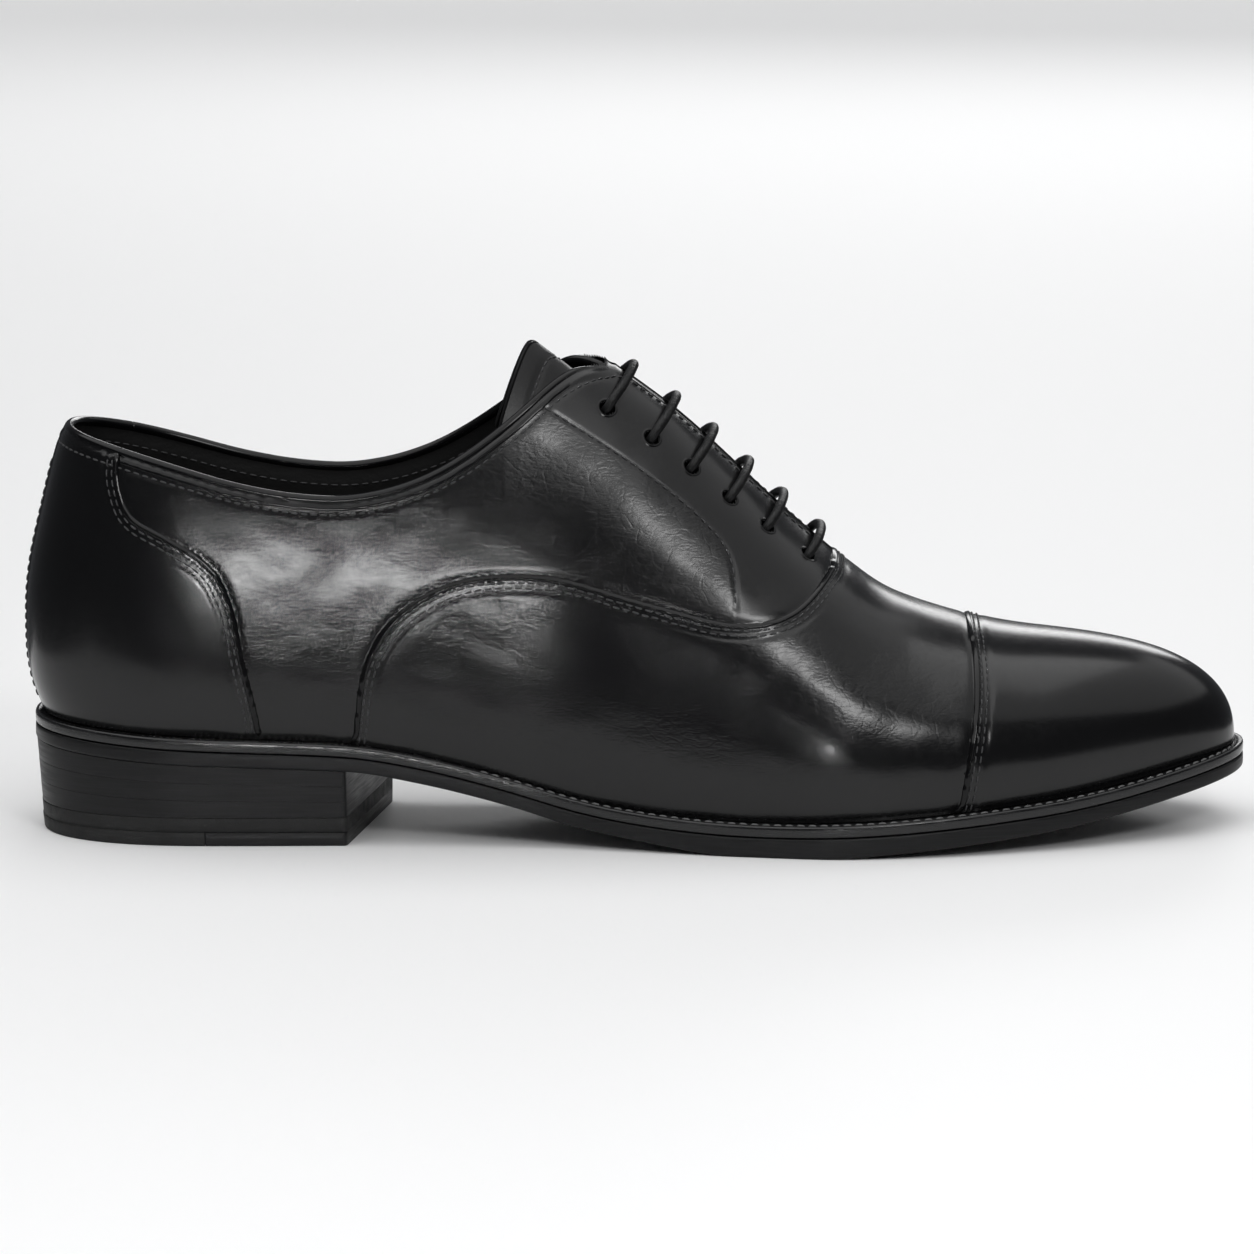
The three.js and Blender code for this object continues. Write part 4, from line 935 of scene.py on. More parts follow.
# The vamp and the cap lie to the right of their seams, which go from lateral to medial.
seam_bead("vamp_seam_edge", VAMP_PATH)
seam_bead("toe_cap_seam_edge", CAP_PATH)
seam_rows = [row_beside(path, -d) for path in (VAMP_PATH, CAP_PATH) for d in (ROW_ONE, ROW_TWO)]
for side in SIDES:
    seam_bead(f"foxing_seam_edge_{WORD[side]}", FOXING_PATH[side])
    seam_rows += [row_beside(FOXING_PATH[side], side * d) for d in (ROW_ONE, ROW_TWO)]
    seam_rows.append(row_beside(STAY_PATH[side], 0, trim=1))
strip_edge = strip_points.shape[1] // 6
seam_rows += [(strip_points[4:-12, k], strip_ups[4:-12, k]) for k in (strip_edge, -1 - strip_edge)]
stitches("seam_stitches", seam_rows)

collar_stations = np.concatenate([UPPER_HEEL + HEEL_WRAP * (1 - np.cos(np.linspace(0, math.pi / 2, 70))),
                                  np.linspace(UPPER_HEEL + HEEL_WRAP, -12, 130)[1:]])
SPLIT_X = -128.4


def facing_line(side, offset, depth, ahead=50.0, start=-4.0):
    """Down the meeting edges of the facings, at an offset from the middle."""
    xs = np.linspace(start, ahead, 40)
    ridge = upper_point(xs, side, 1.0)
    n = normal_at(xs, side, np.ones_like(xs))
    ridge[:, 1] = middle(xs) + side * offset
    drop = offset ** 2 / 60.0
    return ridge - (depth + drop) * n


def collar_curve(side, below, depth, offset, ahead=50.0, corner=12):
    """One line round the collar and down the facing of a side, rounded where they meet."""
    collar = collar_path(collar_stations, side, below, depth)
    collar = collar[collar[:, 0] < -16 - below * 0.6]
    front = facing_line(side, offset, depth, ahead, start=-3.0 + below * 0.4)
    corner_points = spline(np.vstack([collar[-14], collar[-1], front[0], front[5]]), 12, True)[12:25]
    path = np.vstack([collar[:-1], corner_points, front[1:]])
    return ease(resample(path, 0.8), corner)


def from_split(path, ahead):
    return path[path[:, 0] > SPLIT_X + 0.15] if ahead else path[path[:, 0] < SPLIT_X - 0.15]


binding_ring = ring_section(BINDING / 2, 18)
collar_rows = []
for side in SIDES:
    bead_line = collar_curve(side, 0.0, BEAD_DEPTH, FACING_HALF)
    roll = from_split(bead_line, True)
    inner_line = from_split(collar_curve(side, 2.0, 0.15, FACING_HALF + 1.75), True)
    _, ups = on_skin(inner_line)
    edge_strip = sweep(inner_line, fold_section(1.3, 0.7), ups)
    piece(f"collar_binding_{WORD[side]}", join([sweep(roll, binding_ring), edge_strip]), BEAD,
          nodes=[f"binding_{WORD[side]}"])
    row = resample(collar_curve(side, 3.6, 0.0, FACING_HALF + 3.4, ahead=44.0), 1.0)
    collar_rows.append(on_skin(row))
stitches("collar_stitches", collar_rows, pitch=2.4, length=1.8)

rear = {s: from_split(collar_curve(s, 0.0, BEAD_DEPTH, FACING_HALF), False) for s in SIDES}
rear_line = ease(resample(np.vstack([rear[-1][::-1], rear[1]]), 0.8), 4)
piece("collar_binding_rear", sweep(rear_line, binding_ring), BEAD, nodes=["binding_rear"])

# ---------------------------------------------------------------- lining
LINING_STATIONS = skin_stations(70, 170, 60)
LINING_ROWS = np.concatenate([np.linspace(0.02, BULGE_AT, 16, endpoint=False), np.linspace(BULGE_AT, 1, 90)])
inner_grid, inner_normals = full_grid(LINING_STATIONS, LINING_ROWS)
icols = inner_grid.shape[1]
ip, inorm = inner_grid.reshape(-1, 3), inner_normals.reshape(-1, 3)
iside = np.tile(np.where(np.arange(icols) < len(LINING_ROWS), -1, 1), len(LINING_STATIONS))
itop = top_distance(ip[:, 0], ip[:, 2], iside)
shallow = np.where(ip[:, 0] < -10, 1 - step01(0.5, 5.0, itop), 0)
ldepth = LINING_DEPTH + 0.1 - 0.9 * shallow
ldepth = ldepth + 0.12 * bump_at(itop, 4.4, 0.7) * (ip[:, 0] < -10)
ldepth = ldepth + 0.35 * waves(ip, 34, 21) * step01(6, 20, itop)
inner_skin = ip - ldepth[:, None] * inorm
icells = strip_faces(len(LINING_STATIONS), icols, flip=True)
icentre = ip[icells].mean(1)
icell_side = np.where((icells % icols).mean(1) < len(LINING_ROWS) - 1, -1, 1)
icell_top = top_distance(icentre[:, 0], icentre[:, 2], icell_side)
ikeep = (icentre[:, 0] > COLLAR_FRONT) | (icell_top > -0.1)
ikeep &= ~((icentre[:, 0] < THROAT_X) & (np.abs(icentre[:, 1] - middle(icentre[:, 0])) < FACING_HALF))
LINING_BREAK, TOE_LINING_X = -99.0, 46.0
at_sides = (icentre[:, 0] >= LINING_BREAK) & (icentre[:, 0] < TOE_LINING_X)
for node, chosen in (("heel_lining", icentre[:, 0] < LINING_BREAK),
                     ("quarter_lining_lateral", at_sides & (icell_side < 0)),
                     ("quarter_lining_medial", at_sides & (icell_side > 0)),
                     ("vamp_lining", icentre[:, 0] >= TOE_LINING_X)):
    made, _ = new_mesh(f"{node}_leather", inner_skin, [icells[ikeep & chosen]])
    dress(made, LINING, nodes=[node])

lining_rows = []
for side in SIDES:
    stations = collar_stations[collar_stations < -24]
    path = collar_path(stations, side, 4.4, LINING_DEPTH + 0.1)
    inward = -unit(path - np.stack([path[:, 0], middle(path[:, 0]), path[:, 2]], 1) + 1e-9)
    lining_rows.append((path, inward))
stitches("lining_stitches", lining_rows, pitch=2.6, length=2.0, radius=0.22)

# ---------------------------------------------------------------- tongue
TONGUE_ROOT_X, RIDGE_END_X = 48.0, -20.0
TONGUE_RUN, TIP_ROW = 90, 6.5  # the tongue's length, and a stitch row's distance from its tip


def tongue_surface(depth):
    """A grid over the tongue: across from the outer edge over the ridge, along from throat to tip."""
    edge = spline([(48.0, 54.5), (30, 59.5), (0, 77.5), (-22, 90.5), (-31.0, 96.8), (-34.2, 100.0),
                   (-34.6, 102.0)], 14)
    edge = resample(edge, count=120)
    ridge_x = np.linspace(TONGUE_ROOT_X, RIDGE_END_X, len(edge))
    s_edge, v_edge = station_of(edge[:, 0], edge[:, 1])
    across = np.linspace(-1, 1, 97)
    rows = []
    for side in SIDES:
        keep = across[across < 0] if side < 0 else across[across >= 0]
        share = 1 - np.abs(keep)
        bow = np.sin(share * math.pi) * step01(0.7, 1.0, np.linspace(0, 1, len(edge)))[:, None] * 0.8
        s = s_edge[:, None] * (1 - share) + ridge_x[:, None] * share + bow
        v = v_edge[:, None] * (1 - share) + share
        p, n = upper_point(s, side, v), normal_at(s, side, v)
        rows.append(p - depth * n)
    return np.concatenate(rows, axis=1)


top = tongue_surface(TONGUE_TOP + 0.1)
lower = tongue_surface(TONGUE_END - 0.1)
rows_t = len(top)
mid = (top + lower) / 2


def closed_sheet(top, lower, roll=0.55):
    """A sheet of some thickness with rounded edges, from its two faces."""
    rows, cols = top.shape[:2]
    count = rows * cols
    verts = [top.reshape(-1, 3), lower.reshape(-1, 3)]
    faces = [strip_faces(rows, cols), strip_faces(rows, cols, flip=True) + count]
    edge = np.concatenate([np.arange(cols), np.arange(2 * cols - 1, count, cols),
                           np.arange(count - 2, count - cols - 1, -1),
                           np.arange(count - 2 * cols, 0, -cols)])
    a, b = top.reshape(-1, 3)[edge], lower.reshape(-1, 3)[edge]
    centre_line = (a + b) / 2
    inner = np.roll(centre_line, -1, 0) - np.roll(centre_line, 1, 0)
    out = unit(np.cross(inner, a - b))
    rings = []
    for t in (0.2, 0.5, 0.8):
        push = math.sin(t * math.pi) * roll
        rings.append(a * (1 - t) + b * t + out * push)
    n, start = len(edge), 2 * count
    verts += rings
    loops = [edge] + [start + k * n + np.arange(n) for k in range(3)] + [edge + count]
    for p, q in zip(loops[:-1], loops[1:]):
        faces.append(np.stack([p, q, np.roll(q, -1), np.roll(p, -1)], 1))
    return np.vstack(verts), faces


along_t = np.linspace(0, 1, rows_t)[:, None]
drawn_in = 0.18 * bump_at((1 - along_t) * TONGUE_RUN, TIP_ROW, 0.8)
top_n = unit(top - lower)
top = top - drawn_in[..., None] * top_n
verts_t, faces_t = closed_sheet(top, mid + top_n * 0.1)
made, _ = new_mesh("tongue_leather", verts_t, faces_t)
dress(made, TONGUE_SKIN, body="tongue", nodes=["tongue"])
verts_t, faces_t = closed_sheet(mid - top_n * 0.1, lower, 0.35)
made, _ = new_mesh("tongue_lining_leather", verts_t, faces_t)
dress(made, LINING, body="tongue", nodes=["tongue_lining"])
row_at = int(round((1 - TIP_ROW / TONGUE_RUN) * (rows_t - 1)))
tongue_row = (top[row_at, 4:-4], top_n[row_at, 4:-4])
edge_row = (top[30:row_at, 7], top_n[30:row_at, 7])
other_row = (top[30:row_at, -8], top_n[30:row_at, -8])
stitches("tongue_stitches", [tongue_row, edge_row, other_row], body="tongue")

# ---------------------------------------------------------------- eyelets and lace
UP = np.array([0.62, 0.78])
ALONG = np.array([0.78, -0.62])
BAR_RISE = LACE / 2 + 0.35
DODGE = 2.8


def near(k, side, forward, outward, depth):
    """A point off an eyelet, along the lacing and outward, at a depth below the skin."""
    x, z = EYELETS[k] + ALONG * forward - UP * outward
    return under(np.array([x]), np.array([z]), side, np.array([depth]))[0]


def ridge_z(x):
    return float(upper_point(x, 1, 1.0)[2])


def ridge_normal(x):
    slope = (ridge_z(x + 1) - ridge_z(x - 1)) / 2
    return unit(np.array([-slope, 0, 1.0]))


def reach_of(k):
    reach = 0.0
    while EYELETS[k][1] + UP[1] * reach < ridge_z(EYELETS[k][0] + UP[0] * reach):
        reach += 0.02
    return reach


def bar(k, start):
    reach = reach_of(k)
    x = EYELETS[k][0] + UP[0] * reach
    summit = np.array([x, float(middle(x)), ridge_z(x)]) + ridge_normal(x) * (BAR_RISE + 1.2)

    def half(side):
        return [near(k, side, 0, 0.2, 0.2), near(k, side, 0, -0.14 * reach, -BAR_RISE),
                near(k, side, 0, -0.55 * reach, -BAR_RISE - 0.9)]
    return [*half(start), summit, *half(-start)[::-1]]


def drop(k, side, way, outward):
    return [near(k, side, 0, 0.1, STIFF_END), near(k, side, way * 1.6, outward * 0.4, LACE_DEPTH - 0.35)]


TAIL_B = [(5, 2.2), (12, 5.4), (20, 5.8), (28, 6), (35, 6.2)]
TAIL_A = [(4, 3.4), (9, 7), (17, 8.7), (27, 8.8), (38, 9), (49, 9.2)]


def tail(k, places):
    return [near(k, 1, f, o, LACE_DEPTH) for f, o in places]


lace_path = [
    *tail(5, TAIL_A)[::-1], *drop(5, 1, 1, 2)[::-1], *bar(5, 1), *drop(5, -1, 1, -1),
    near(4, -1, 0, -DODGE, LACE_DEPTH), *drop(3, -1, -1, -1)[::-1], *bar(3, -1), *drop(3, 1, 1, -1),
    near(2, 1, 0, -DODGE, LACE_DEPTH), *drop(1, 1, -1, -1)[::-1], *bar(1, 1), *drop(1, -1, 1, 0),
    *drop(0, -1, -1, 0)[::-1], *bar(0, -1), *drop(0, 1, -1, 1), near(1, 1, 0, DODGE, LACE_DEPTH),
    *drop(2, 1, 1, 1)[::-1], *bar(2, 1), *drop(2, -1, -1, 1), near(3, -1, 0, DODGE, LACE_DEPTH),
    *drop(4, -1, 1, 1)[::-1], *bar(4, -1), *drop(4, 1, 1, 2), *tail(4, TAIL_B)]
lace_line = resample(spline(lace_path, 24, True), 0.3)


def braided(path, radius, sides=20):
    """A waxed round cord: strands cross over it in two directions, and it is slightly uneven."""
    tangent, up, side = frames(path)
    run = np.concatenate([[0], np.cumsum(np.linalg.norm(np.diff(path, axis=0), axis=1))])
    a = np.arange(sides) / sides * 2 * math.pi
    one = np.sin(4 * a[None] + run[:, None] * 3.4)
    two = np.sin(4 * a[None] - run[:, None] * 3.4)
    weave = 0.035 * np.maximum(one, two)
    wander = 0.02 * np.sin(run * 0.9)[:, None] + 0.015 * np.sin(run[:, None] * 2.3 + 2 * np.cos(a[None]))
    r = radius * (0.975 + weave + wander)
    ring = path[:, None] + r[..., None] * (np.cos(a)[None, :, None] * side[:, None]
                                           + np.sin(a)[None, :, None] * up[:, None])
    verts = np.vstack([ring.reshape(-1, 3), path[0] - tangent[0] * 0.3, path[-1] + tangent[-1] * 0.3])
    return verts, [strip_faces(len(path), sides, wrap=True), end_fans(len(path), sides)]


piece("lace_round", braided(lace_line, LACE / 2), CORD, nodes=["lace"])
for k, (at, (f, o)) in enumerate(((5, TAIL_A[-1]), (4, TAIL_B[-1])), 1):
    ends = np.array([near(at, 1, f + 0.35, o, LACE_DEPTH), near(at, 1, f + 11.3, o, LACE_DEPTH - 0.1)])
    line = resample(ends, count=14)
    pinch = 1 - 0.05 * np.sin(np.linspace(0, math.pi, 14))
    piece(f"aglet_{k}_tube", sweep(line, ring_section(LACE / 2 - 0.05, 16), scale=pinch), PLASTIC,
          nodes=[f"aglet_{k}"])


def turned(profile, place, axis, sides=32):
    """A ring or disc turned round an axis: profile is (radius, height) pairs."""
    axis = axis / np.linalg.norm(axis)
    one = unit(np.cross(axis, [0.3, 1.0, 0.1]))
    two = np.cross(axis, one)
    a = np.arange(sides) / sides * 2 * math.pi
    ring = np.cos(a)[:, None] * one + np.sin(a)[:, None] * two
    verts = np.concatenate([place + r * ring + h * axis for r, h in profile])
    return verts, [strip_faces(len(profile), sides, wrap=True, flip=True)]


# A punched hole's edge: pressed down round the hole, then the leather's own thickness.
HOLE_EDGE = [(2.9, -0.12), (2.6, 0.04), (2.35, 0.1), (2.1, 0.06), (1.93, -0.08), (1.86, -0.35),
             (1.86, -1.4), (1.95, -2.4), (1.95, -3.2)]
for side in SIDES:
    places, ups = on_skin(eyelet_places[side])
    rims = join([turned(HOLE_EDGE, p, u) for p, u in zip(places, ups)])
    piece(f"eyelet_edges_{WORD[side]}", rims, BEAD)

# ---------------------------------------------------------------- welt and outsole
SOLE_STATIONS = np.concatenate([
    HEEL_END + HEEL_WRAP * (1 - np.cos(np.linspace(0, math.pi / 2, 160, endpoint=False))),
    np.linspace(HEEL_END + HEEL_WRAP, TOE_END - TOE_WRAP, 560, endpoint=False),
    TOE_END - TOE_WRAP * (1 - np.sin(np.linspace(0, math.pi / 2, 200)))])
SOLE_N = len(SOLE_STATIONS)


def sole_loop():
    lateral = np.stack([SOLE_STATIONS, sole_edge(SOLE_STATIONS, -1)], 1)
    medial = np.stack([SOLE_STATIONS, sole_edge(SOLE_STATIONS, 1)], 1)
    return np.vstack([lateral, medial[-2:0:-1]])


LOOP = sole_loop()
loop_tangent = unit(np.roll(LOOP, -1, 0) - np.roll(LOOP, 1, 0))
for _ in range(6):
    loop_tangent = unit(np.roll(loop_tangent, 1, 0) + 2 * loop_tangent + np.roll(loop_tangent, -1, 0))
LOOP_OUT = np.stack([loop_tangent[:, 1], -loop_tangent[:, 0]], 1)
LOOP_RUN = np.concatenate([[0], np.cumsum(np.linalg.norm(np.diff(LOOP, axis=0), axis=1))])


def rim(loop, out, inset, height):
    """The outline moved in by inset, at height(x)."""
    xy = loop - out * np.asarray(inset)[..., None]
    return np.column_stack([xy, height(xy[:, 0])])


def loft(rings):
    """The skin through a stack of closed rings."""
    return np.vstack(rings), [strip_faces(len(rings), len(rings[0]), wrap=True, flip=True)]


WELT_PROFILE = [
    (9.0, 0.0), (6.5, 0.0), (4.2, 0.05), (3.0, 0.12), (2.5, 0.05), (2.2, -0.16), (1.9, -0.2), (1.6, -0.16),
    (1.3, 0.04), (0.95, 0.14), (0.62, 0.13), (0.34, 0.04), (0.13, -0.14), (0.02, -0.4), (-0.02, -0.8),
    (0.0, -1.6), (0.02, -2.2), (0.12, -2.55), (0.35, -2.75), (1.2, -2.8), (4.0, -2.8)]
heel_share = 1 - step01(-86, -58, LOOP[:, 0])
wheel = np.sin(LOOP_RUN * 2 * math.pi / 1.7)
rings = []
for inset, drop_by in WELT_PROFILE:
    on_top = bump_at(inset, 2.2, 1.1)
    mark = 0.16 * wheel * on_top * heel_share
    lift = drop_by * (1 - heel_share * (0.85 if 1.0 < inset < 3.3 else 0.0)) + mark
    ring = rim(LOOP, LOOP_OUT, inset, welt_top)
    ring[:, 2] += lift
    rings.append(ring)
piece("welt_strip", loft(rings), WELT_EDGE, nodes=["welt"])

stitch_line = rim(LOOP, LOOP_OUT, 1.9, welt_top) + np.array([0, 0, -0.12])
ahead = LOOP[:, 0] > -40
first_half = stitch_line[:SOLE_N][ahead[:SOLE_N]]
second_half = stitch_line[SOLE_N:][ahead[SOLE_N:]]
welt_line = ease(resample(np.vstack([first_half, second_half]), 1.0), 3)
stitches("welt_stitches", [(welt_line, np.tile([0, 0, 1.0], (len(welt_line), 1)))], WELT_THREAD,
         pitch=2.9, length=2.3, radius=0.33)


def sole_height(share):
    return lambda x: (1 - share) * (welt_top(x) - 3.0) + share * sole_bottom(x)


SOLE_PROFILE = [(4.0, 0.0), (1.0, 0.0), (0.4, 0.01), (0.15, 0.03), (0.04, 0.08), (0.0, 0.2), (-0.02, 0.5),
                (0.0, 0.8), (0.05, 0.9), (0.2, 0.97), (0.5, 1.0)]
rings = [rim(LOOP, LOOP_OUT, inset, sole_height(share)) for inset, share in SOLE_PROFILE]
side_verts, side_faces = loft(rings)
# The underside: strips across, with the channel that hides the sole's stitching.
UNDER_INSETS = [0.5, 1.5, 3.0, 4.4, 4.75, 5.0, 5.25, 5.6, 7.5]
channel = {4.75: 0.12, 5.0: 0.3, 5.25: 0.12}
under_rings = []
for inset in UNDER_INSETS:
    ring = rim(LOOP, LOOP_OUT, inset, sole_bottom)
    ring[:, 2] += channel.get(inset, 0.0)
    under_rings.append(ring)
under_verts, under_faces = loft(under_rings)
inner = under_rings[-1]
lat, med = inner[:SOLE_N], np.vstack([inner[:1], inner[SOLE_N:][::-1], inner[SOLE_N - 1:SOLE_N]])
share = np.linspace(0, 1, 13)[None, :, None]
floor_grid = lat[:, None] * (1 - share) + med[:, None] * share
floor_grid[..., 2] = sole_bottom(floor_grid[..., 0])
made, _ = new_mesh("outsole_leather", *join([
    (side_verts, side_faces), (under_verts, under_faces),
    (floor_grid[::4].reshape(-1, 3), [strip_faces(len(floor_grid[::4]), 13)])]))
dress(made, SOLE_EDGE, nodes=["outsole"])

# ---------------------------------------------------------------- heel
BREAST_X, BREAST_LEAN = -67.1, 30.2 / 180
TAPER = 1.7
TOP_PIECE, TIP_INSERT, INSERT_BACK = 7.2, 3.5, -107.7
LIFT_BEVEL = 0.035


def heel_loop(inset):
    """The heel's outline at an inset: round the back, then straight across the breast."""
    xy = LOOP - LOOP_OUT * inset
    keep = xy[:, 0] < BREAST_X + BREAST_LEAN * xy[:, 1]
    curve = np.vstack([xy[SOLE_N:][keep[SOLE_N:]], xy[:SOLE_N][keep[:SOLE_N]]])
    ends = [(BREAST_X + BREAST_LEAN * y, y) for y in (curve[0, 1], curve[-1, 1])]
    curve = resample(np.vstack([ends[0], curve, ends[1]]), count=420)
    straight = resample(np.array([curve[-1], curve[0]]), count=60)[1:-1]
    loop = np.vstack([curve, straight])
    for _ in range(2):
        loop = 0.25 * np.roll(loop, 1, 0) + 0.5 * loop + 0.25 * np.roll(loop, -1, 0)
    return loop


def block(loops_and_heights):
    """A closed block from rings, with flat ends."""
    rings = [np.column_stack([loop, height(loop[:, 0])]) for loop, height in loops_and_heights]
    verts, faces = loft(rings)
    verts = np.vstack([verts, rings[0].mean(0), rings[-1].mean(0)])
    return verts, [*faces, end_fans(len(rings), len(rings[0]), flip=True)]


def mixed(one, two, share):
    return lambda x: (1 - share) * one(x) + share * two(x)


def level(z):
    return lambda x: np.full(np.shape(x), float(z))


def lifted(line, by):
    return lambda x: line(x) + by


LIFTS = 3
heel_top = lifted(sole_bottom, -0.08)
heel_low = level(TOP_PIECE + 0.08)


def heel_block(upper, lower, inset_top, inset_low, bevel):
    """A layer of the heel; each edge's last ring holds its rounding, so that the side stays flat."""
    shape = [(bevel * 3, 0), (bevel, 0), (bevel * 0.3, -bevel * 0.3), (0, -bevel), (0, -bevel - 0.15)]
    rows = []
    for extra, dz in shape:
        rows.append((heel_loop(inset_top + extra), lifted(upper, dz)))
    for extra, dz in shape[::-1]:
        rows.append((heel_loop(inset_low + extra), lifted(lower, -dz)))
    return block(rows)


for k in range(LIFTS):
    upper = mixed(heel_top, heel_low, k / LIFTS)
    lower = lifted(mixed(heel_top, heel_low, (k + 1) / LIFTS), 0.02)
    t0, t1 = (0.3 + TAPER * 0.7 * n / LIFTS for n in (k, k + 1))
    piece(f"heel_lift_{k + 1}_leather", heel_block(upper, lower, t0, t1, LIFT_BEVEL), HEEL_EDGE,
          nodes=[f"heel_lift_{k + 1}"])

INSET_TOP, INSET_LOW = TAPER * 0.7 + 0.25, TAPER + 0.3


# The rubber top piece is a layer over the whole heel and a rear part that reaches the ground. The
# leather tip insert stands in front of the rear part. Rows are (inset, drop) or (inset, height).
TOP_EDGE = ((0.6, 0), (0.18, 0), (0.05, 0.06), (0, 0.2))
TOP_FOOT = ((0.15, 5.4), (0.27, 3.62), (0.36, 3.55), (0.8, 3.5))
rows = [(heel_loop(INSET_TOP + extra), level(TOP_PIECE - drop_by)) for extra, drop_by in TOP_EDGE]
rows += [(heel_loop(INSET_TOP + extra), level(z)) for extra, z in TOP_FOOT]
piece("heel_top_piece_upper", block(rows), RUBBER, nodes=["heel_top_piece"])


def part_loop(inset, x_cut, rear):
    """The heel outline's rear or front part, cut straight across at x_cut."""
    loop = heel_loop(inset)
    clipped_loop = loop.copy()
    if rear:
        clipped_loop[:, 0] = np.minimum(loop[:, 0], x_cut)
    else:
        clipped_loop[:, 0] = np.maximum(loop[:, 0], x_cut)
        wide = np.abs(loop[loop[:, 0] > x_cut][:, 1]).max()
        clipped_loop[:, 1] = np.clip(loop[:, 1], -wide, wide)
    return clipped_loop


def low_block(x_cut, rear, top):
    rows = [(part_loop(INSET_LOW - 0.45 + e, x_cut, rear), level(z)) for e, z in (
        (0.5, top), (0.12, top), (0.02, top - 0.1), (0.2, top / 2), (0.34, 0.45), (0.4, 0.2), (0.62, 0.05),
        (1.1, 0.0))]
    return block(rows)


piece("heel_top_piece_rear", low_block(INSERT_BACK - 0.08, True, TIP_INSERT), RUBBER)
piece("heel_tip_insert_leather", low_block(INSERT_BACK + 0.08, False, TIP_INSERT - 0.06), HEEL_EDGE,
      nodes=["heel_tip_insert"])
NAILS = [(-98, -22), (-98, 21), (-86, -24), (-84, 22), (-76, -9), (-72, 9)]
NAIL_HEAD = [(0.02, 0.02), (0.45, 0.03), (0.75, 0.05), (0.9, 0.12), (0.92, 0.3), (0.92, 1.2)]
for k, (x, y) in enumerate(NAILS, 1):
    head = turned([(r, -h) for r, h in NAIL_HEAD], np.array([x, y, -0.03]), np.array([0, 0, -1.0]), 24)
    made, _ = new_mesh(f"heel_nail_{k}_head", head[0], head[1])
    dress(made, BRASS, nodes=[f"heel_nail_{k}"])

# ---------------------------------------------------------------- insole and sock
def footbed(x0, x1, rows, cols, clearance, lift, curl):
    """A soft sheet over the insole, a little dished and turned up at its edges."""
    xs = np.linspace(x0, x1, rows)
    z = welt_top(xs) + lift
    s, v = station_of(xs, z)
    out = []
    for side in SIDES:
        p = upper_point(s, side, v)
        out.append(p[:, 1] - side * clearance * np.ones(rows))
    lateral, medial = out
    t = np.linspace(-1, 1, cols)
    y = (lateral[:, None] * (1 - t) + medial[:, None] * (1 + t)) / 2
    rise = curl * np.abs(t[None]) ** 5
    shape = np.stack([np.repeat(xs[:, None], cols, 1), y, z[:, None] + rise], axis=-1)
    dent = 0.35 * waves(shape.reshape(-1, 3), 30, 7).reshape(rows, cols)
    shape[..., 2] += dent - 0.7 * bump_at(xs, -112, 26)[:, None] * bump_at(t, 0, 0.6)[None]
    return shape


sock_top = footbed(-147.3, -46, 110, 60, 4.6, 4.2, 1.2)
thin = sock_top.copy()
thin[..., 2] -= 0.8
piece("sock_liner_leather", closed_sheet(sock_top[:, ::-1], thin[:, ::-1], 0.3), SOCK,
      nodes=["sock_liner"])
insole_top = footbed(-146.5, 138, 200, 50, 4.6, 3.1, 0.6)
thin = insole_top.copy()
thin[..., 2] -= 2.2
piece("insole_board", closed_sheet(insole_top[:, ::-1], thin[:, ::-1], 0.3), SOCK,
      nodes=["insole"])
t_row = sock_top[3:-4, 4], sock_top[3:-4, -5], sock_top[-4, 4:-4]
stitches("sock_stitches", [(r, np.tile([0, 0, 1.0], (len(r), 1))) for r in t_row],
         pitch=3.0, length=2.3, radius=0.2)

# ---------------------------------------------------------------- nodes that stay as they are
for names, material in (
        (["toe_puff", "heel_counter", "waist_filler"], BOARD),
        (["facing_stay_lateral", "facing_stay_medial"], LINING),
        (["forepart_filler"], CORK), (["shank"], STEEL),
        ([f"eyelet_{WORD[s]}_{k}" for s in SIDES for k in range(1, 7)], DARK_METAL)):
    for name in names:
        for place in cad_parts[name].material_slots:
            place.material = material

# ---------------------------------------------------------------- stage and light
# A pale floor that curves up into a wall a long way behind the shoe. The leather mirrors only the
# table-sized part near the shoe, as it would in a dark studio.
FLOOR_HALF, FLOOR_FRONT, SWEEP_START, SWEEP_RADIUS, WALL_TOP = 7.0, -7.0, 3.2, 1.2, 4.5
TABLE_X, TABLE_Y = 0.34, 0.18
pale = Nodes("floor_pale")
pale.set(Base_Color=(0.88, 0.88, 0.88, 1), Roughness=0.6, Specular_IOR_Level=0.3)
pale.bump(pale.noise(40, 3), 0.05, 0.0004)


def stage_piece(name, verts, faces):
    """A smooth piece of floor or backdrop, which isn't part of the shoe."""
    mesh = bpy.data.meshes.new(name)
    mesh.from_pydata(verts, [], faces)
    for face in mesh.polygons:
        face.use_smooth = True
    made = bpy.data.objects.new(name, mesh)
    bpy.context.scene.collection.objects.link(made)
    mesh.materials.append(pale.material)
    return made


table = [(-TABLE_X, -TABLE_Y, 0), (TABLE_X, -TABLE_Y, 0), (TABLE_X, TABLE_Y, 0), (-TABLE_X, TABLE_Y, 0)]
stage_piece("floor_table", table, [(0, 1, 2, 3)])
outer = [(-FLOOR_HALF, FLOOR_FRONT, 0), (FLOOR_HALF, FLOOR_FRONT, 0),
         (FLOOR_HALF, SWEEP_START, 0), (-FLOOR_HALF, SWEEP_START, 0)]
around = stage_piece("floor_around", table + outer,
                     [(4, 5, 1, 0), (5, 6, 2, 1), (6, 7, 3, 2), (7, 4, 0, 3)])
sweep_arc = np.linspace(0, math.pi / 2, 17)
section = [(SWEEP_START + SWEEP_RADIUS * math.sin(t), SWEEP_RADIUS * (1 - math.cos(t))) for t in sweep_arc]
section += [(SWEEP_START + SWEEP_RADIUS, WALL_TOP)]
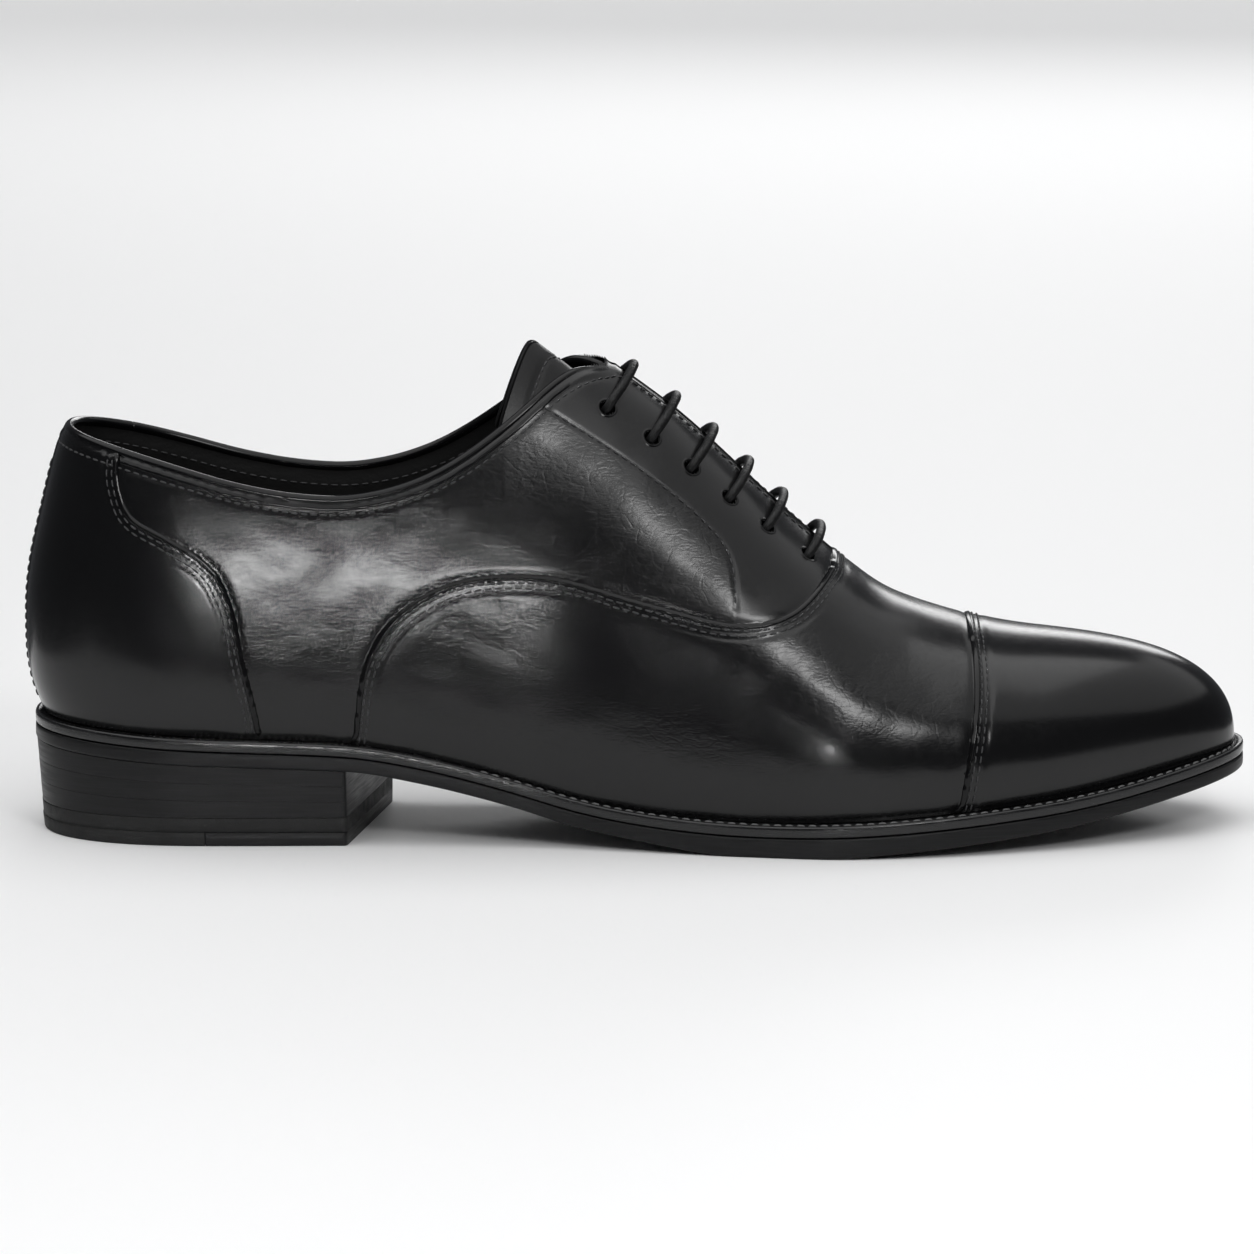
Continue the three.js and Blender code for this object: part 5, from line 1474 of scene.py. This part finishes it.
wall = stage_piece("backdrop", [(x, y, z) for y, z in section for x in (-FLOOR_HALF, FLOOR_HALF)],
                   [(2 * k, 2 * k + 1, 2 * k + 3, 2 * k + 2) for k in range(len(section) - 1)])
for far in (around, wall):
    far.visible_glossy = False


def area_light(name, place, width, height, energy):
    """A rectangular light, which faces straight down until it is turned."""
    data = bpy.data.lights.new(name, "AREA")
    data.shape = "RECTANGLE"
    data.size, data.size_y = width, height
    data.energy = energy
    made = bpy.data.objects.new(name, data)
    made.location = place
    bpy.context.scene.collection.objects.link(made)
    return made


def softbox(name, azimuth, elevation, distance, width, height, radiance, aim=(0, 0, 0.05),
            spread=180):
    """A light seen from its aim at an azimuth (0 is the camera's side) and elevation."""
    a, e = math.radians(azimuth), math.radians(elevation)
    way = Vector((math.sin(a) * math.cos(e), -math.cos(a) * math.cos(e), math.sin(e)))
    # A narrow spread throws the same energy into fewer directions, so the energy falls with it.
    half = math.radians(spread) / 2
    kept = math.sin(half) ** 2 - (half - math.sin(2 * half) / 2) / math.tan(half)
    energy = radiance * math.pi * width * height * kept
    made = area_light(name, Vector(aim) + way * distance, width, height, energy)
    made.data.spread = 2 * half
    made.rotation_euler = (-way).to_track_quat("-Z", "Y").to_euler()


def ceiling(name, x_range, y_range, height, radiance):
    """A level light over the shoe, facing straight down."""
    width, depth = x_range[1] - x_range[0], y_range[1] - y_range[0]
    place = (sum(x_range) / 2, sum(y_range) / 2, height)
    area_light(name, place, width, depth, radiance * math.pi * width * depth)


# The ceiling light's right and front edges are the two edges of the broad sheen on the vamp.
ceiling("overhead", (-1.7, 0.86), (-2.4, 1.1), 1.6, 1.6)
ceiling("overhead_far", (0.9, 2.7), (-1.2, 2.2), 1.6, 0.6)
softbox("key_low", -2, 0.8, 2.4, 0.27, 0.14, 130, aim=(-0.095, 0, 0.05), spread=8)
softbox("key_high", 20, 31, 1.6, 0.40, 0.26, 15)
softbox("key_middle", 10, 15, 1.6, 0.2, 0.3, 1.5)
softbox("medial", 172, 18, 1.9, 0.8, 0.4, 3.5)
softbox("wall_wash", 0, 40, 2.6, 6.0, 1.4, 2.6, aim=(0, 4.2, 0.7))
world = bpy.data.worlds.new("studio")
world.use_nodes = True
world.node_tree.nodes["Background"].inputs["Color"].default_value = (0.9, 0.93, 1.0, 1)
world.node_tree.nodes["Background"].inputs["Strength"].default_value = 0.08
bpy.context.scene.world = world
bpy.context.scene.view_settings.view_transform = "Standard"
